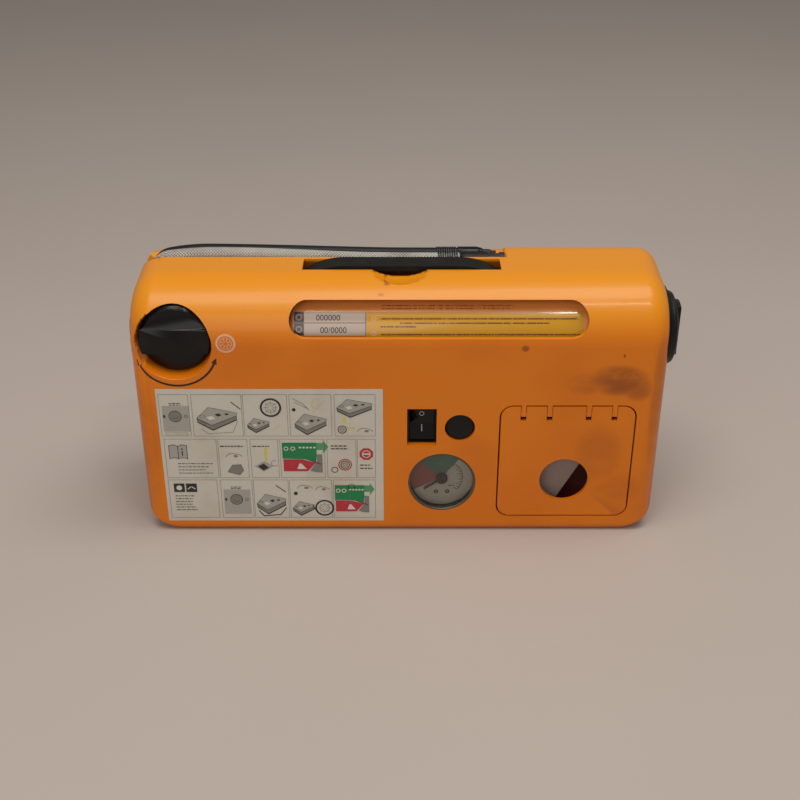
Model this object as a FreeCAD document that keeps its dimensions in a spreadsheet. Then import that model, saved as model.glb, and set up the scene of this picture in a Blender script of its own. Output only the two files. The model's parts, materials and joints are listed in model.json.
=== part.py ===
"""Portable tyre compressor and sealant kit in a plastic case that stands on its long narrow side.

Frame: origin at the centre of the case's bottom face, +X to the right along the case,
+Y from the front panel to the back, +Z up.  Millimetres.
"""
import FreeCAD, Part
import Sketcher
import math
import os
import re

from FreeCAD import Rotation, Vector

doc = FreeCAD.newDocument("TyreKit")
sheet = doc.addObject("Spreadsheet::Sheet", "Sizes")

SIZES = {
    # case
    "case_width": 306,
    "case_depth": 88,
    "case_height": 157,
    "wall": 2.5,
    "crown_radius": 33,
    "back_crown_radius": 25,
    "corner_radius": 20,
    "side_edge_radius": 12,
    "top_edge_radius": 15,
    "foot_edge_radius": 5,
    "parting_depth": 62,
    # hose groove round the case
    "groove_width": 18,
    "groove_depth": 9,
    "groove_corner_radius": 21.5,
    "groove_top_end": 62.5,
    "groove_side_end": 75,
    "rear_rim_drop": 5,
    # carry handle and its recess
    "recess_left": -56,
    "recess_right": 58,
    "recess_front": 34,
    "recess_back": 50,
    "recess_front_drop": 7.5,
    "recess_back_drop": 13.5,
    "recess_wall": 1.3,
    "pocket_length": 3.5,
    "pocket_low": 8.8,
    "pocket_high": 2.5,
    "lug_front": 38,
    "lug_back": 46,
    "lug_thickness": 2,
    "strap_width": 14,
    "strap_rise": 1.7,
    "strap_thickness": 3.1,
    "strap_ramp": 24,
    "strap_end_top": 6,
    "strap_end_bottom": 7.5,
    "scoop_radius": 36,
    "scoop_depth": 28,
    "scoop_rise": 31.8,
    # selector knob
    "knob_x": -127.3,
    "knob_z": 125.6,
    "knob_radius": 20.5,
    "knob_face_depth": 4,
    "knob_back_depth": 18.2,
    "knob_rim_depth": 7.5,
    "grip_width": 15,
    "knob_recess_radius": 21.5,
    "knob_recess_depth": 18.5,
    "spindle_radius": 4,
    "spindle_length": 12,
    "valve_half_width": 17,
    "valve_back_depth": 48,
    # sealant cartridge
    "bottle_radius": 24.5,
    "bottle_depth": 31,
    "bottle_z": 122.4,
    "bottle_left": -72,
    "bottle_right": 146,
    "bottle_wall": 1.4,
    "bottle_shoulder": 12,
    "neck_radius": 12,
    "neck_length": 17,
    "label_left": -60,
    "label_right": 103,
    "label_top_drop": 7,
    "label_thickness": 0.25,
    "cap_set_in": 0.4,
    "cap_dome_radius": 21.3,
    "cap_reach": 8.6,
    "cap_grip_width": 13,
    "cap_grip_radius": 16.2,
    "cap_hole_radius": 25.2,
    "socket_radius": 16,
    # window over the cartridge
    "window_left": -62,
    "window_right": 105.5,
    "window_low": 129.2,
    "window_high": 148.6,
    "window_end_radius": 9.65,
    # switch
    "switch_x": 12.7,
    "switch_low": 60,
    "switch_high": 84.7,
    "switch_width": 17.1,
    "switch_wall": 1.3,
    "switch_seat": 4.6,
    "switch_depth": 24,
    "rocker_depth": 5.4,
    "rocker_pivot_depth": 10,
    "rocker_tilt": 7,
    # deflation button
    "button_x": 34.8,
    "button_z": 72,
    "button_radius": 8.5,
    "button_hole_radius": 8.8,
    "button_depth": 1.2,
    "button_guide_depth": 16,
    # gauge
    "gauge_x": 24.9,
    "gauge_z": 34.5,
    "gauge_hole_radius": 20,
    "dial_depth": 6,
    "gauge_case_depth": 24,
    "needle_length": 13,
    "needle_angle": 215,
    # storage compartment and its lid
    "lid_left": 58.5,
    "lid_right": 136,
    "lid_low": 11.3,
    "lid_high": 86.2,
    "lid_gap": 0.9,
    "lid_thickness": 2.5,
    "lid_corner_radius": 7,
    "hinge_drop": 5.5,
    "hinge_pin_radius": 0.7,
    "finger_width": 2.8,
    "finger_drop": 6.6,
    "notch_drop": 9.2,
    "finger_hole_x": 97.3,
    "finger_hole_z": 36.4,
    "finger_hole_radius": 14.4,
    "tub_wall": 1.8,
    "tub_depth": 47,
    # compressor
    "motor_y": -18,
    "gear_y": 12,
    "gear_z": 65,
    "motor_radius": 17.5,
    "motor_left": -72,
    "motor_right": -18,
    "motor_cap": 4,
    "shaft_radius": 1.6,
    "gear_module": 1,
    "pinion_teeth": 12,
    "gear_teeth": 48,
    "gear_left": -90,
    "gear_width": 6,
    "frame_plate": 5,
    "crank_radius": 9,
    "crank_pin_radius": 2.5,
    "rod_thickness": 6,
    "cylinder_radius": 12,
    "bore_radius": 10,
    "head_low": 12,
    "head_height": 5,
    "barrel_height": 27,
    "piston_height": 8,
    # hoses
    "white_hose_radius": 4,
    "black_hose_radius": 3.5,
    "white_hose_depth": 57.8,
    "black_hose_depth": 66.6,
    "white_line_z": 153.6,
    "black_line_z": 153.8,
    "white_fitting_left": 35,
    "black_fitting_left": 34.3,
    "spring_length": 13.2,
    # fasteners
    "screw_radius": 1.5,
    "screw_head_radius": 3,
    "boss_radius": 4.2,
    # front panel sheet
    "sticker_left": -140,
    "sticker_right": -9.8,
    "sticker_low": 7.2,
    "sticker_high": 97.8,
    "sticker_thickness": 0.15,
    "running_fit": 0.05,
    "clearance": 0.3,
}

for row, (alias, number) in enumerate(SIZES.items(), start=1):
    sheet.set(f"A{row}", alias)
    sheet.set(f"B{row}", str(number))
    sheet.setAlias(f"B{row}", alias)
doc.recompute()


# ---------------------------------------------------------------- helpers
AXES = {"X": Vector(1, 0, 0), "Y": Vector(0, 1, 0), "Z": Vector(0, 0, 1)}
REACH = 20  # how far a cutter runs past the case, so that it always cuts through
PARTS = []


def size(alias):
    """The number in the sheet under this alias."""
    return float(sheet.get(alias))


def formula(text):
    """An expression with every alias bound to the sheet."""
    text = text.replace("FRONT", "(-case_depth / 2)").replace("PARTING", "(parting_depth - case_depth / 2)")
    return re.sub(r"[a-z]+(?:_[a-z]+)*", lambda found: bound(found.group(0)), text)


def bound(word):
    return "Sizes." + word if word in SIZES else word


def bind(thing, **formulas):
    for name, text in formulas.items():
        thing.setExpression(name.replace("__", "."), formula(text))
    return thing


def span(low, high):
    return f"({high}) - ({low})"


def block(name, x, y, z):
    """A box between two planes on each axis."""
    box = doc.addObject("Part::Box", name)
    bind(box, Length=span(*x), Width=span(*y), Height=span(*z))
    return bind(box, Placement__Base__x=x[0], Placement__Base__y=y[0], Placement__Base__z=z[0])


def along(axis, start, a, b):
    """The three coordinates of a point at start on an axis line through (a, b)."""
    return {"X": (start, a, b), "Y": (a, start, b), "Z": (a, b, start)}[axis]


def set_on(thing, axis, start, a, b):
    thing.Placement.Rotation = Rotation(Vector(0, 0, 1), AXES[axis])
    x, y, z = along(axis, start, a, b)
    return bind(thing, Placement__Base__x=x, Placement__Base__y=y, Placement__Base__z=z)


def rod(name, axis, radius, reach, a, b):
    """A cylinder along an axis, from reach[0] to reach[1], its centre at (a, b)."""
    cylinder = doc.addObject("Part::Cylinder", name)
    bind(cylinder, Radius=radius, Height=span(*reach))
    return set_on(cylinder, axis, reach[0], a, b)


def cone(name, axis, radii, reach, a, b):
    taper = doc.addObject("Part::Cone", name)
    bind(taper, Radius1=radii[0], Radius2=radii[1], Height=span(*reach))
    return set_on(taper, axis, reach[0], a, b)


def ball(name, radius, x, y, z):
    sphere = doc.addObject("Part::Sphere", name)
    bind(sphere, Radius=radius)
    return set_on(sphere, "Z", z, x, y)


def join(name, *pieces):
    union = doc.addObject("Part::MultiFuse", name)
    union.Shapes = list(pieces)
    return union


def overlap(name, *pieces):
    meet = doc.addObject("Part::MultiCommon", name)
    meet.Shapes = list(pieces)
    return meet


def cut(name, base, *tools):
    difference = doc.addObject("Part::Cut", name)
    difference.Base = base
    difference.Tool = tools[0] if len(tools) == 1 else join(name + "_tools", *tools)
    return difference


def ring(name, axis, radii, reach, a, b):
    """A tube between an inner and an outer radius."""
    bore = rod(name + "_bore", axis, radii[0], (f"({reach[0]}) - 1", f"({reach[1]}) + 1"), a, b)
    return cut(name, rod(name + "_body", axis, radii[1], reach, a, b), bore)


def rounded(name, base, choose):
    """Fillet the edges for which choose gives a radius, or a pair of radii."""
    doc.recompute()
    fillet = doc.addObject("Part::Fillet", name)
    fillet.Base = base
    wanted = []
    for number, edge in enumerate(base.Shape.Edges, start=1):
        radii = choose(edge)
        if radii:
            wanted.append((number, *radii) if isinstance(radii, tuple) else (number, radii, radii))
    fillet.Edges = wanted
    return fillet


def runs(edge, axis):
    """True for a straight edge along an axis."""
    if edge.Curve.TypeId != "Part::GeomLine":
        return False
    return edge.tangentAt(edge.FirstParameter).cross(AXES[axis]).Length < 1e-6


def rounded_slab(name, x, y, z, radius):
    """A plate that faces the front, with its four corners rounded."""
    return rounded(name, block(name + "_plate", x, y, z), lambda edge: radius if runs(edge, "Y") else None)


def origin_plane(body, role):
    return next(plane for plane in body.Origin.OriginFeatures if plane.Role == role)


def drawn(body, role, points):
    """A closed sketch of straight lines, each corner bound to the sheet."""
    sketch = body.newObject("Sketcher::SketchObject", body.Name + "_outline")
    sketch.AttachmentSupport = (origin_plane(body, role), [""])
    sketch.MapMode = "FlatFace"
    places = [tuple(evaluate(coordinate) for coordinate in point) for point in points]
    for number, start in enumerate(places):
        end = places[(number + 1) % len(places)]
        sketch.addGeometry(Part.LineSegment(Vector(*start, 0), Vector(*end, 0)))
    for number, (point, place) in enumerate(zip(points, places)):
        following = (number + 1) % len(points)
        sketch.addConstraint(Sketcher.Constraint("Coincident", number, 2, following, 1))
        for kind, text, value in zip(("DistanceX", "DistanceY"), point, place):
            index = sketch.addConstraint(Sketcher.Constraint(kind, -1, 1, number, 1, value))
            sketch.setExpression(f"Constraints[{index}]", formula(text))
    return sketch


def evaluate(text):
    """The value of a formula now, used only to draw a sketch near its solution."""
    return float(sheet.evalExpression(formula(text)))


def turned(name, axis, start, a, b, points):
    """A body turned about an axis; its outline is (radius, distance from start) pairs."""
    body = doc.addObject("PartDesign::Body", name)
    sketch = drawn(body, "XZ_Plane", points)
    revolution = body.newObject("PartDesign::Revolution", name + "_turning")
    revolution.Profile = sketch
    revolution.ReferenceAxis = (sketch, ["V_Axis"])
    revolution.Angle = 360
    return set_on(body, axis, start, a, b)


def padded(name, role, points, start, length):
    """A body padded from a plane; the sketch's plane sits at start on its own normal."""
    body = doc.addObject("PartDesign::Body", name)
    sketch = drawn(body, role, points)
    pad = body.newObject("PartDesign::Pad", name + "_pad")
    pad.Profile = sketch
    bind(pad, Length=length)
    pad.Reversed = role == "XZ_Plane"
    return bind(body, **{"Placement__Base__" + {"XZ_Plane": "y", "YZ_Plane": "x",
                                                "XY_Plane": "z"}[role]: start})


def solid(name, shape):
    """A computed shape as an object of the document."""
    feature = doc.addObject("Part::Feature", name)
    feature.Shape = shape
    feature.Placement = FreeCAD.Placement()
    return feature


def part(thing, label):
    thing.Label = label
    PARTS.append(thing)
    return thing


# ---------------------------------------------------------------- case
def edge_radius(point, inset):
    """Radius of the case's outline edges at a point: larger along the top."""
    on_top = point.z > size("case_height") - inset - 0.5
    return size("top_edge_radius" if on_top else "side_edge_radius") - inset


def case_form(name, inset_text):
    """The case's outer form, or the same form set in by the wall."""
    inset = evaluate(inset_text)
    half = size("case_width") / 2 - inset
    front = -size("case_depth") / 2 + inset
    x = (f"-case_width / 2 + {inset_text}", f"case_width / 2 - {inset_text}")
    y = (f"-case_depth / 2 + {inset_text}", f"case_depth / 2 - {inset_text}")
    top = f"case_height - {inset_text}"

    def crown(edge):
        if not runs(edge, "X") or edge.CenterOfMass.z < 0:
            return None
        return size("crown_radius" if edge.CenterOfMass.y < 0 else "back_crown_radius") - inset

    def outline(edge):
        on_side = all(abs(abs(vertex.Point.x) - half) < 1e-4 for vertex in edge.Vertexes)
        if not on_side or edge.CenterOfMass.z < 0 and runs(edge, "Y"):
            return None
        ends = edge.valueAt(edge.FirstParameter), edge.valueAt(edge.LastParameter)
        return tuple(edge_radius(end, inset) for end in ends)

    def foot_corner(edge):
        low = edge.CenterOfMass.z < size("wall") + 1
        return size("corner_radius") - inset if low and runs(edge, "Y") else None

    def foot_edge(edge):
        on_face = all(abs(abs(vertex.Point.y) + front) < 1e-4 for vertex in edge.Vertexes)
        above = edge.CenterOfMass.z > size("case_height")
        return None if above or not on_face else size("foot_edge_radius") - inset * 0.9

    tall = block(name + "_block", x, y, (f"-{REACH * 2}", top))
    crowned = rounded(name + "_crowned", tall, crown)
    edged = rounded(name + "_edged", crowned, outline)
    foot = block(name + "_foot", x, y, (inset_text, f"case_height + {REACH}"))
    cornered = rounded(name + "_cornered", foot, foot_corner)
    footed = rounded(name + "_footed", cornered, foot_edge)
    return overlap(name, edged, footed)


def hose_groove(name, extra):
    """The ring-shaped groove, or the same ring thickened by the wall."""
    y = (f"PARTING - groove_width / 2 - {extra}", f"PARTING + groove_width / 2 + {extra}")
    wide = (f"-case_width / 2 - {REACH}", f"case_width / 2 + {REACH}")
    slab = block(name + "_slab", wide, y, (f"-{REACH}", f"case_height + {REACH}"))
    inset = f"groove_depth + {extra}"
    core_block = block(name + "_core_block", (f"-case_width / 2 + {inset}", f"case_width / 2 - ({inset})"), y,
                       (inset, f"case_height - ({inset})"))
    radius = size("groove_corner_radius") - evaluate(extra)
    core = rounded(name + "_core", core_block, lambda edge: radius if runs(edge, "Y") else None)
    corner = block(name + "_corner", (f"groove_top_end + {extra}", wide[1]), y,
                   (f"groove_side_end + {extra}", f"case_height + {REACH}"))
    return cut(name, slab, core, corner)


def handle_recess(name, extra):
    """The recess under the strap: its floor falls towards the back."""
    front = f"FRONT + recess_front - {extra}"
    back = f"FRONT + recess_back + {extra}"
    outline = [
        (front, f"case_height - recess_front_drop - 1.1 * ({extra})"),
        (back, f"case_height - recess_back_drop - 1.1 * ({extra})"),
        (back, f"case_height + {REACH}"),
        (front, f"case_height + {REACH}"),
    ]
    return padded(name, "YZ_Plane", outline, f"recess_left - {extra}",
                  f"recess_right - recess_left + 2 * ({extra})")


def lug_pockets(name, extra):
    """Pockets in the recess's end walls that let the strap's lugs rise."""
    reach = (f"recess_left - pocket_length - {extra}", f"recess_right + pocket_length + {extra}")
    return block(name, reach, (f"FRONT + lug_front - {extra}", f"FRONT + lug_back + {extra}"),
                 (f"case_height - pocket_low - {extra}", f"case_height - pocket_high + {extra}"))


def finger_scoop(name, extra):
    """A shallow dish in the crown that lets a finger under the strap."""
    return ball(name, f"scoop_radius + {extra}", "0", "FRONT + scoop_depth", "case_height + scoop_rise")


def at_front(name, radius, depth, x, z):
    """A round cut into the front panel."""
    return rod(name, "Y", radius, (f"FRONT - {REACH}", f"FRONT + {depth}"), x, z)


def window_slot(name):
    middle = "(window_low + window_high) / 2"
    reach = (f"FRONT - {REACH}", "FRONT + bottle_depth - 8")
    ends = [rod(f"{name}_end_{number}", "Y", "window_end_radius", reach, x, middle)
            for number, x in enumerate(("window_left + window_end_radius",
                                        "window_right - window_end_radius"))]
    straight = block(name + "_straight",
                     ("window_left + window_end_radius", "window_right - window_end_radius"),
                     reach, (f"{middle} - window_end_radius", f"{middle} + window_end_radius"))
    return join(name, straight, *ends)


def lid_opening(name):
    return rounded_slab(name, ("lid_left - lid_gap", "lid_right + lid_gap"),
                        ("FRONT - 1", "FRONT + wall + 1"),
                        ("lid_low - lid_gap", "lid_high + lid_gap"),
                        size("lid_corner_radius") + size("lid_gap"))


FINGERS = ("71.4", "86.5", "109.1", "124")  # the hinge fingers' places along the lid
HINGE_Z = "lid_high - hinge_drop"
HINGE_Y = "FRONT + lid_thickness / 2"


def hinge_fingers():
    """Fingers that hang from the opening's upper edge, bored for the hinge pins."""
    fingers = []
    for number, x in enumerate(FINGERS):
        wide = (f"{x} - finger_width / 2", f"{x} + finger_width / 2")
        finger = block(f"finger_{number}", wide, ("FRONT", "FRONT + lid_thickness"),
                       ("lid_high - finger_drop", "lid_high + lid_gap + 1"))
        bore = rod(f"finger_{number}_bore", "X", "hinge_pin_radius + running_fit",
                   (f"{wide[0]} - 1", f"{wide[1]} + 1"), HINGE_Y, HINGE_Z)
        fingers.append(cut(f"finger_{number}_bored", finger, bore))
    return fingers


SCREWS = (("-136", "20"), ("-136", "90"), ("-5", "20"), ("-5", "88"), ("51.4", "20"))


def screw_set(name, radius, reach):
    return join(name, *[rod(f"{name}_{number}", "Y", radius, reach, x, z)
                        for number, (x, z) in enumerate(SCREWS)])


def make_case():
    outer = case_form("case_outer", "0")
    inner = case_form("case_inner", "wall")
    groove = hose_groove("groove", "0")
    recess = handle_recess("recess", "0")
    pockets = lug_pockets("pockets", "0")
    scoop = finger_scoop("scoop", "0")
    knob_well = at_front("knob_well", "knob_recess_radius", "knob_recess_depth", "knob_x", "knob_z")
    knob_lip = cone("knob_lip", "Y", ("knob_recess_radius + 1", "knob_recess_radius"),
                    ("FRONT - 0.2", "FRONT + 0.8"), "knob_x", "knob_z")
    knob_bore = rod("knob_bore", "Y", "spindle_radius + running_fit", ("FRONT", "FRONT + 30"), "knob_x",
                    "knob_z")
    seat_x = ("switch_x - switch_width / 2 - 2.6", "switch_x + switch_width / 2 + 2.6")
    guards = [
        hose_groove("groove_guard", "wall"),
        handle_recess("recess_guard", "recess_wall"),
        lug_pockets("pocket_guard", "recess_wall"),
        finger_scoop("scoop_guard", "wall"),
        at_front("knob_guard", "knob_recess_radius + wall", "knob_recess_depth + wall", "knob_x", "knob_z"),
        block("switch_guard", seat_x, ("FRONT", "FRONT + switch_seat"),
              ("switch_low - 2.6", "switch_high + 2.6")),
    ]
    posts_front = screw_set("posts_front", "boss_radius", ("FRONT", "PARTING"))
    posts_back = screw_set("posts_back", "boss_radius + 0.6", ("PARTING", "case_depth / 2 - wall / 2"))
    cavity = cut("cavity", inner, *guards, posts_front, posts_back)
    openings = [
        groove, recess, pockets, scoop, knob_well, knob_lip, knob_bore, window_slot("window"), cavity,
        block("switch_hole", ("switch_x - switch_width / 2", "switch_x + switch_width / 2"),
              (f"FRONT - {REACH}", "FRONT + 9"), ("switch_low", "switch_high")),
        at_front("button_hole", "button_hole_radius", "9", "button_x", "button_z"),
        at_front("gauge_hole", "gauge_hole_radius", "9", "gauge_x", "gauge_z"),
        lid_opening("lid_hole"),
        rod("cap_hole", "X", "cap_hole_radius", ("case_width / 2 - 12", f"case_width / 2 + {REACH}"),
            "FRONT + bottle_depth", "bottle_z"),
        block("rim_step", (f"-case_width / 2 - {REACH}", "groove_top_end"),
              ("PARTING + groove_width / 2 - 1", f"case_depth / 2 + {REACH}"),
              ("case_height - rear_rim_drop", f"case_height + {REACH}")),
        rod("outlet_hole", "Y", "2.5", ("PARTING - 30", "PARTING - groove_width / 2 + 1"),
            "case_width / 2 - 4.8", "groove_side_end - 4"),
        screw_set("screw_pilots", "screw_radius + 0.02", ("PARTING - 14", "case_depth / 2 + 1")),
        screw_set("screw_seats", "screw_head_radius + 0.3", ("case_depth / 2 - 4", "case_depth / 2 + 1")),
    ]
    hollow = join("case_shell", cut("case_walls", outer, *openings), *hinge_fingers())
    wide = (f"-case_width / 2 - {REACH}", f"case_width / 2 + {REACH}")
    tall = (f"-{REACH}", f"case_height + {REACH}")
    ahead = block("ahead_of_parting", wide, (f"FRONT - {REACH}", "PARTING"), tall)
    behind = block("behind_parting", wide, ("PARTING", f"case_depth / 2 + {REACH}"), tall)
    part(overlap("front", hollow, ahead), "front_shell")
    part(overlap("rear", hollow, behind), "rear_shell")
    heads = screw_set("screw_heads", "screw_head_radius", ("case_depth / 2 - 4", "case_depth / 2 - 2"))
    shanks = screw_set("screw_shanks", "screw_radius", ("PARTING - 13", "case_depth / 2 - 3"))
    part(join("screws", heads, shanks), "case_screws")


# ---------------------------------------------------------------- handle
def strap_form(name, top, drop):
    """A long block flat on top; each end falls by drop over the strap's ramp, on one arc."""
    fall = evaluate(drop)
    radius = (size("strap_ramp") ** 2 + fall ** 2) / (2 * fall)
    run_out = f"({radius} - strap_ramp)"
    depth = "FRONT + (recess_front + recess_back) / 2"
    blank = block(name + "_blank", (f"recess_left - {run_out}", f"recess_right + {run_out}"),
                  (f"{depth} - strap_width / 2", f"{depth} + strap_width / 2"),
                  (f"{top} - {radius} - 1", top))
    level = evaluate(top)
    return rounded(name, blank,
                   lambda edge: radius if runs(edge, "Y") and edge.CenterOfMass.z > level - 1 else None)


def make_handle():
    top = "case_height + strap_rise"
    over = strap_form("strap_over", top, "strap_rise + strap_end_top")
    under = strap_form("strap_under", f"{top} - strap_thickness",
                       "strap_rise - strap_thickness + strap_end_bottom")
    strip = block("strap_strip", ("recess_left + clearance", "recess_right - clearance"),
                  ("FRONT + recess_front", "FRONT + recess_back"), ("case_height - 12", "case_height + 12"))
    bow = cut("strap_bow", overlap("strap_upper", strip, over), under)
    low = "case_height - strap_end_bottom - 0.5"
    lug_y = ("FRONT + lug_front + clearance", "FRONT + lug_back - clearance")
    lug_ends = (("recess_left - pocket_length + clearance", "recess_left + 3"),
                ("recess_right - 3", "recess_right + pocket_length - clearance"))
    lugs = [block(f"lug_{number}", x, lug_y, (low, f"{low} + lug_thickness")) for number,
            x in enumerate(lug_ends)]
    part(join("strap", bow, *lugs), "carry_handle")


# ---------------------------------------------------------------- selector
def make_selector():
    face = "FRONT + knob_face_depth"
    body = turned("knob_body", "Y", "FRONT", "knob_x", "knob_z", [
        ("0", "knob_rim_depth"), ("knob_radius - 2", "knob_rim_depth"), ("knob_radius", "knob_rim_depth + 2"),
        ("knob_radius", "knob_back_depth"), ("0", "knob_back_depth"),
    ])
    bar = block("grip_bar", ("knob_x - knob_radius", "knob_x + knob_radius"),
                (face, "FRONT + knob_rim_depth + 1"),
                ("knob_z - grip_width / 2", "knob_z + grip_width / 2"))
    drum = rod("grip_drum", "Y", "knob_radius - 0.6", (face, "FRONT + knob_back_depth - 1"), "knob_x",
               "knob_z")
    part(join("knob", body, overlap("grip", bar, drum)), "selector_knob")
    part(rod("spindle", "Y", "spindle_radius",
             ("FRONT + knob_back_depth", "FRONT + knob_back_depth + spindle_length"), "knob_x", "knob_z"),
         "selector_spindle")
    start = "FRONT + knob_recess_depth + wall"
    housing = block("valve_housing", ("knob_x - valve_half_width", "knob_x + valve_half_width * 2"),
                    (start, "FRONT + valve_back_depth"),
                    ("knob_z - valve_half_width", "knob_z + valve_half_width - 4"))
    bore = rod("valve_bore", "Y", "spindle_radius + running_fit",
               ("FRONT", "FRONT + knob_back_depth + spindle_length + clearance"), "knob_x", "knob_z")
    part(cut("valve", housing, bore), "selector_valve_body")


# ---------------------------------------------------------------- cartridge
BOTTLE_Y = "FRONT + bottle_depth"


def make_cartridge():
    part(turned("bottle", "X", "bottle_left", BOTTLE_Y, "bottle_z", [
        ("neck_radius - bottle_wall", "-neck_length / 2"), ("neck_radius", "-neck_length / 2"),
        ("neck_radius", "0"), ("bottle_radius", "bottle_shoulder"),
        ("bottle_radius", "bottle_right - bottle_left"),
        ("bottle_radius - bottle_wall", "bottle_right - bottle_left"),
        ("bottle_radius - bottle_wall", "bottle_shoulder + 1"), ("neck_radius - bottle_wall", "1"),
    ]), "sealant_bottle")
    part(turned("fill", "X", "bottle_left", BOTTLE_Y, "bottle_z", [
        ("0", "2"), ("neck_radius - bottle_wall - 0.2", "2"),
        ("bottle_radius - bottle_wall - 0.2", "bottle_shoulder + 2"),
        ("bottle_radius - bottle_wall - 0.2", "bottle_right - bottle_left - 1"),
        ("0", "bottle_right - bottle_left - 1"),
    ]), "sealant_fill")
    sleeve = ring("label_sleeve", "X", ("bottle_radius + 0.04", "bottle_radius + label_thickness"),
                  ("label_left", "label_right"), BOTTLE_Y, "bottle_z")
    above = block("above_label", ("label_left - 1", "label_right + 1"),
                  (f"{BOTTLE_Y} - 2 * bottle_radius", f"{BOTTLE_Y} + 2 * bottle_radius"),
                  ("bottle_z + bottle_radius - label_top_drop", "bottle_z + 2 * bottle_radius"))
    part(cut("label", sleeve, above), "bottle_label")
    part(turned("neck", "X", "bottle_left - neck_length", BOTTLE_Y, "bottle_z", [
        ("3", "0"), ("8", "0"), ("neck_radius", "2"), ("neck_radius", "neck_length / 2"),
        ("3", "neck_length / 2"),
    ]), "cartridge_neck")
    flush = "(case_width / 2 - cap_set_in - bottle_right)"
    cap_body = turned("cap_body", "X", "bottle_right", BOTTLE_Y, "bottle_z", [
        ("0", "0"), ("bottle_radius + 0.3", "0"), ("bottle_radius + 0.3", "2.2"),
        ("bottle_radius - 0.8", "2.2"),
        ("bottle_radius - 0.8", "4.4"), ("bottle_radius + 0.3", "4.4"), ("bottle_radius + 0.3", flush),
        ("cap_dome_radius", flush), ("cap_dome_radius", f"{flush} + cap_reach - 5.5"),
        ("cap_dome_radius - 0.8", f"{flush} + cap_reach - 4"),
        ("cap_dome_radius - 3", f"{flush} + cap_reach - 3"),
        ("0", f"{flush} + cap_reach - 3"),
    ])
    cap_bore = rod("cap_bore", "X", "3", ("bottle_right - 1", "bottle_right + 3"), BOTTLE_Y, "bottle_z")
    part(cut("cap", join("cap_solid", cap_body, cap_grip()), cap_bore), "cartridge_cap")
    part(ring("seal", "X", ("bottle_radius - 0.8", "bottle_radius + 0.5"),
              ("bottle_right + 2.4", "bottle_right + 4.2"), BOTTLE_Y, "bottle_z"), "cap_seal_ring")
    part(ring("socket", "X", ("neck_radius + running_fit * 2", "socket_radius"),
              ("bottle_left - neck_length - 2.4", "bottle_left - 1.5"), BOTTLE_Y, "bottle_z"),
              "cartridge_socket")


def cap_grip():
    """The upright bar across the cap that a hand turns it by."""
    face = "case_width / 2 - cap_set_in + cap_reach"
    bar = block("cap_bar", (f"{face} - 6", face),
                (f"{BOTTLE_Y} - cap_grip_width / 2", f"{BOTTLE_Y} + cap_grip_width / 2"),
                ("bottle_z - cap_grip_radius", "bottle_z + cap_grip_radius"))
    drum = rod("cap_drum", "X", "cap_grip_radius", (f"{face} - 6", face), BOTTLE_Y, "bottle_z")
    return overlap("cap_grip_bar", bar, drum)


# ---------------------------------------------------------------- switch, button, gauge
def make_switch():
    left = "switch_x - switch_width / 2"
    right = "switch_x + switch_width / 2"
    shell = block("switch_shell", (f"{left} + 0.15", f"{right} - 0.15"),
                  ("FRONT + switch_seat - 0.6", "FRONT + switch_depth"),
                  ("switch_low + 0.15", "switch_high - 0.15"))
    flange = block("switch_flange", (f"{left} - 2", f"{right} + 2"),
                   ("FRONT + switch_seat", "FRONT + switch_seat + 2"), ("switch_low - 2", "switch_high + 2"))
    mouth = block("switch_mouth", (f"{left} + switch_wall", f"{right} - switch_wall"),
                  ("FRONT", "FRONT + switch_depth - 8"),
                  ("switch_low + switch_wall", "switch_high - switch_wall"))
    middle = "(switch_low + switch_high) / 2"
    trunnion = rod("trunnion_holes", "X", "1.05", (f"{left} + 0.6", f"{right} - 0.6"),
                   "FRONT + rocker_pivot_depth", middle)
    part(cut("switch", join("switch_solid", shell, flange), mouth, trunnion), "switch_body")
    half = "((switch_high - switch_low) / 2 - switch_wall - 1.2)"
    tilt = "2 * rocker_tilt * 1deg"
    rocker = padded("rocker_plate", "YZ_Plane", [
        ("FRONT + rocker_depth", middle), ("FRONT + rocker_depth", f"{middle} + {half}"),
        ("FRONT + rocker_depth + 2.6", f"{middle} + {half}"),
        ("FRONT + rocker_pivot_depth + 2", f"{middle} + 2.6"),
        ("FRONT + rocker_pivot_depth + 2", f"{middle} - 2.2"),
        (f"FRONT + rocker_depth - ({half}) * sin({tilt}) + 2.8", f"{middle} - ({half}) * cos({tilt}) + 0.6"),
        (f"FRONT + rocker_depth - ({half}) * sin({tilt})", f"{middle} - ({half}) * cos({tilt})"),
    ], f"{left} + switch_wall + 0.25", "switch_width - 2 * switch_wall - 0.5")
    pins = rod("rocker_pins", "X", "1", (f"{left} + 0.8", f"{right} - 0.8"), "FRONT + rocker_pivot_depth",
               middle)
    part(join("rocker", rocker, pins), "switch_rocker")
    blade_y = ("FRONT + switch_depth", "FRONT + switch_depth + 7")
    blades = [block(f"blade_{number}", ("switch_x - 3", "switch_x + 3"), blade_y,
                    (f"{z} - 0.4", f"{z} + 0.4"))
              for number, z in enumerate((f"{middle} - 7", middle, f"{middle} + 7"))]
    part(join("blades", *blades), "switch_terminals")


def make_button():
    part(turned("button", "Y", "FRONT + button_depth", "button_x", "button_z", [
        ("0", "0"), ("button_radius - 0.8", "0"), ("button_radius", "0.8"), ("button_radius", "7"),
        ("2", "7"),
        ("2", "17"), ("0", "17"),
    ]), "deflation_button")
    part(turned("guide", "Y", "FRONT + wall", "button_x", "button_z", [
        ("2 + running_fit", "button_guide_depth - 2.5"), ("2 + running_fit", "button_guide_depth"),
        ("button_radius + 1.8", "button_guide_depth"), ("button_radius + 1.8", "0"),
        ("button_radius + 0.3", "0"), ("button_radius + 0.3", "button_guide_depth - 2.5"),
    ]), "deflation_valve_body")


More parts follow.
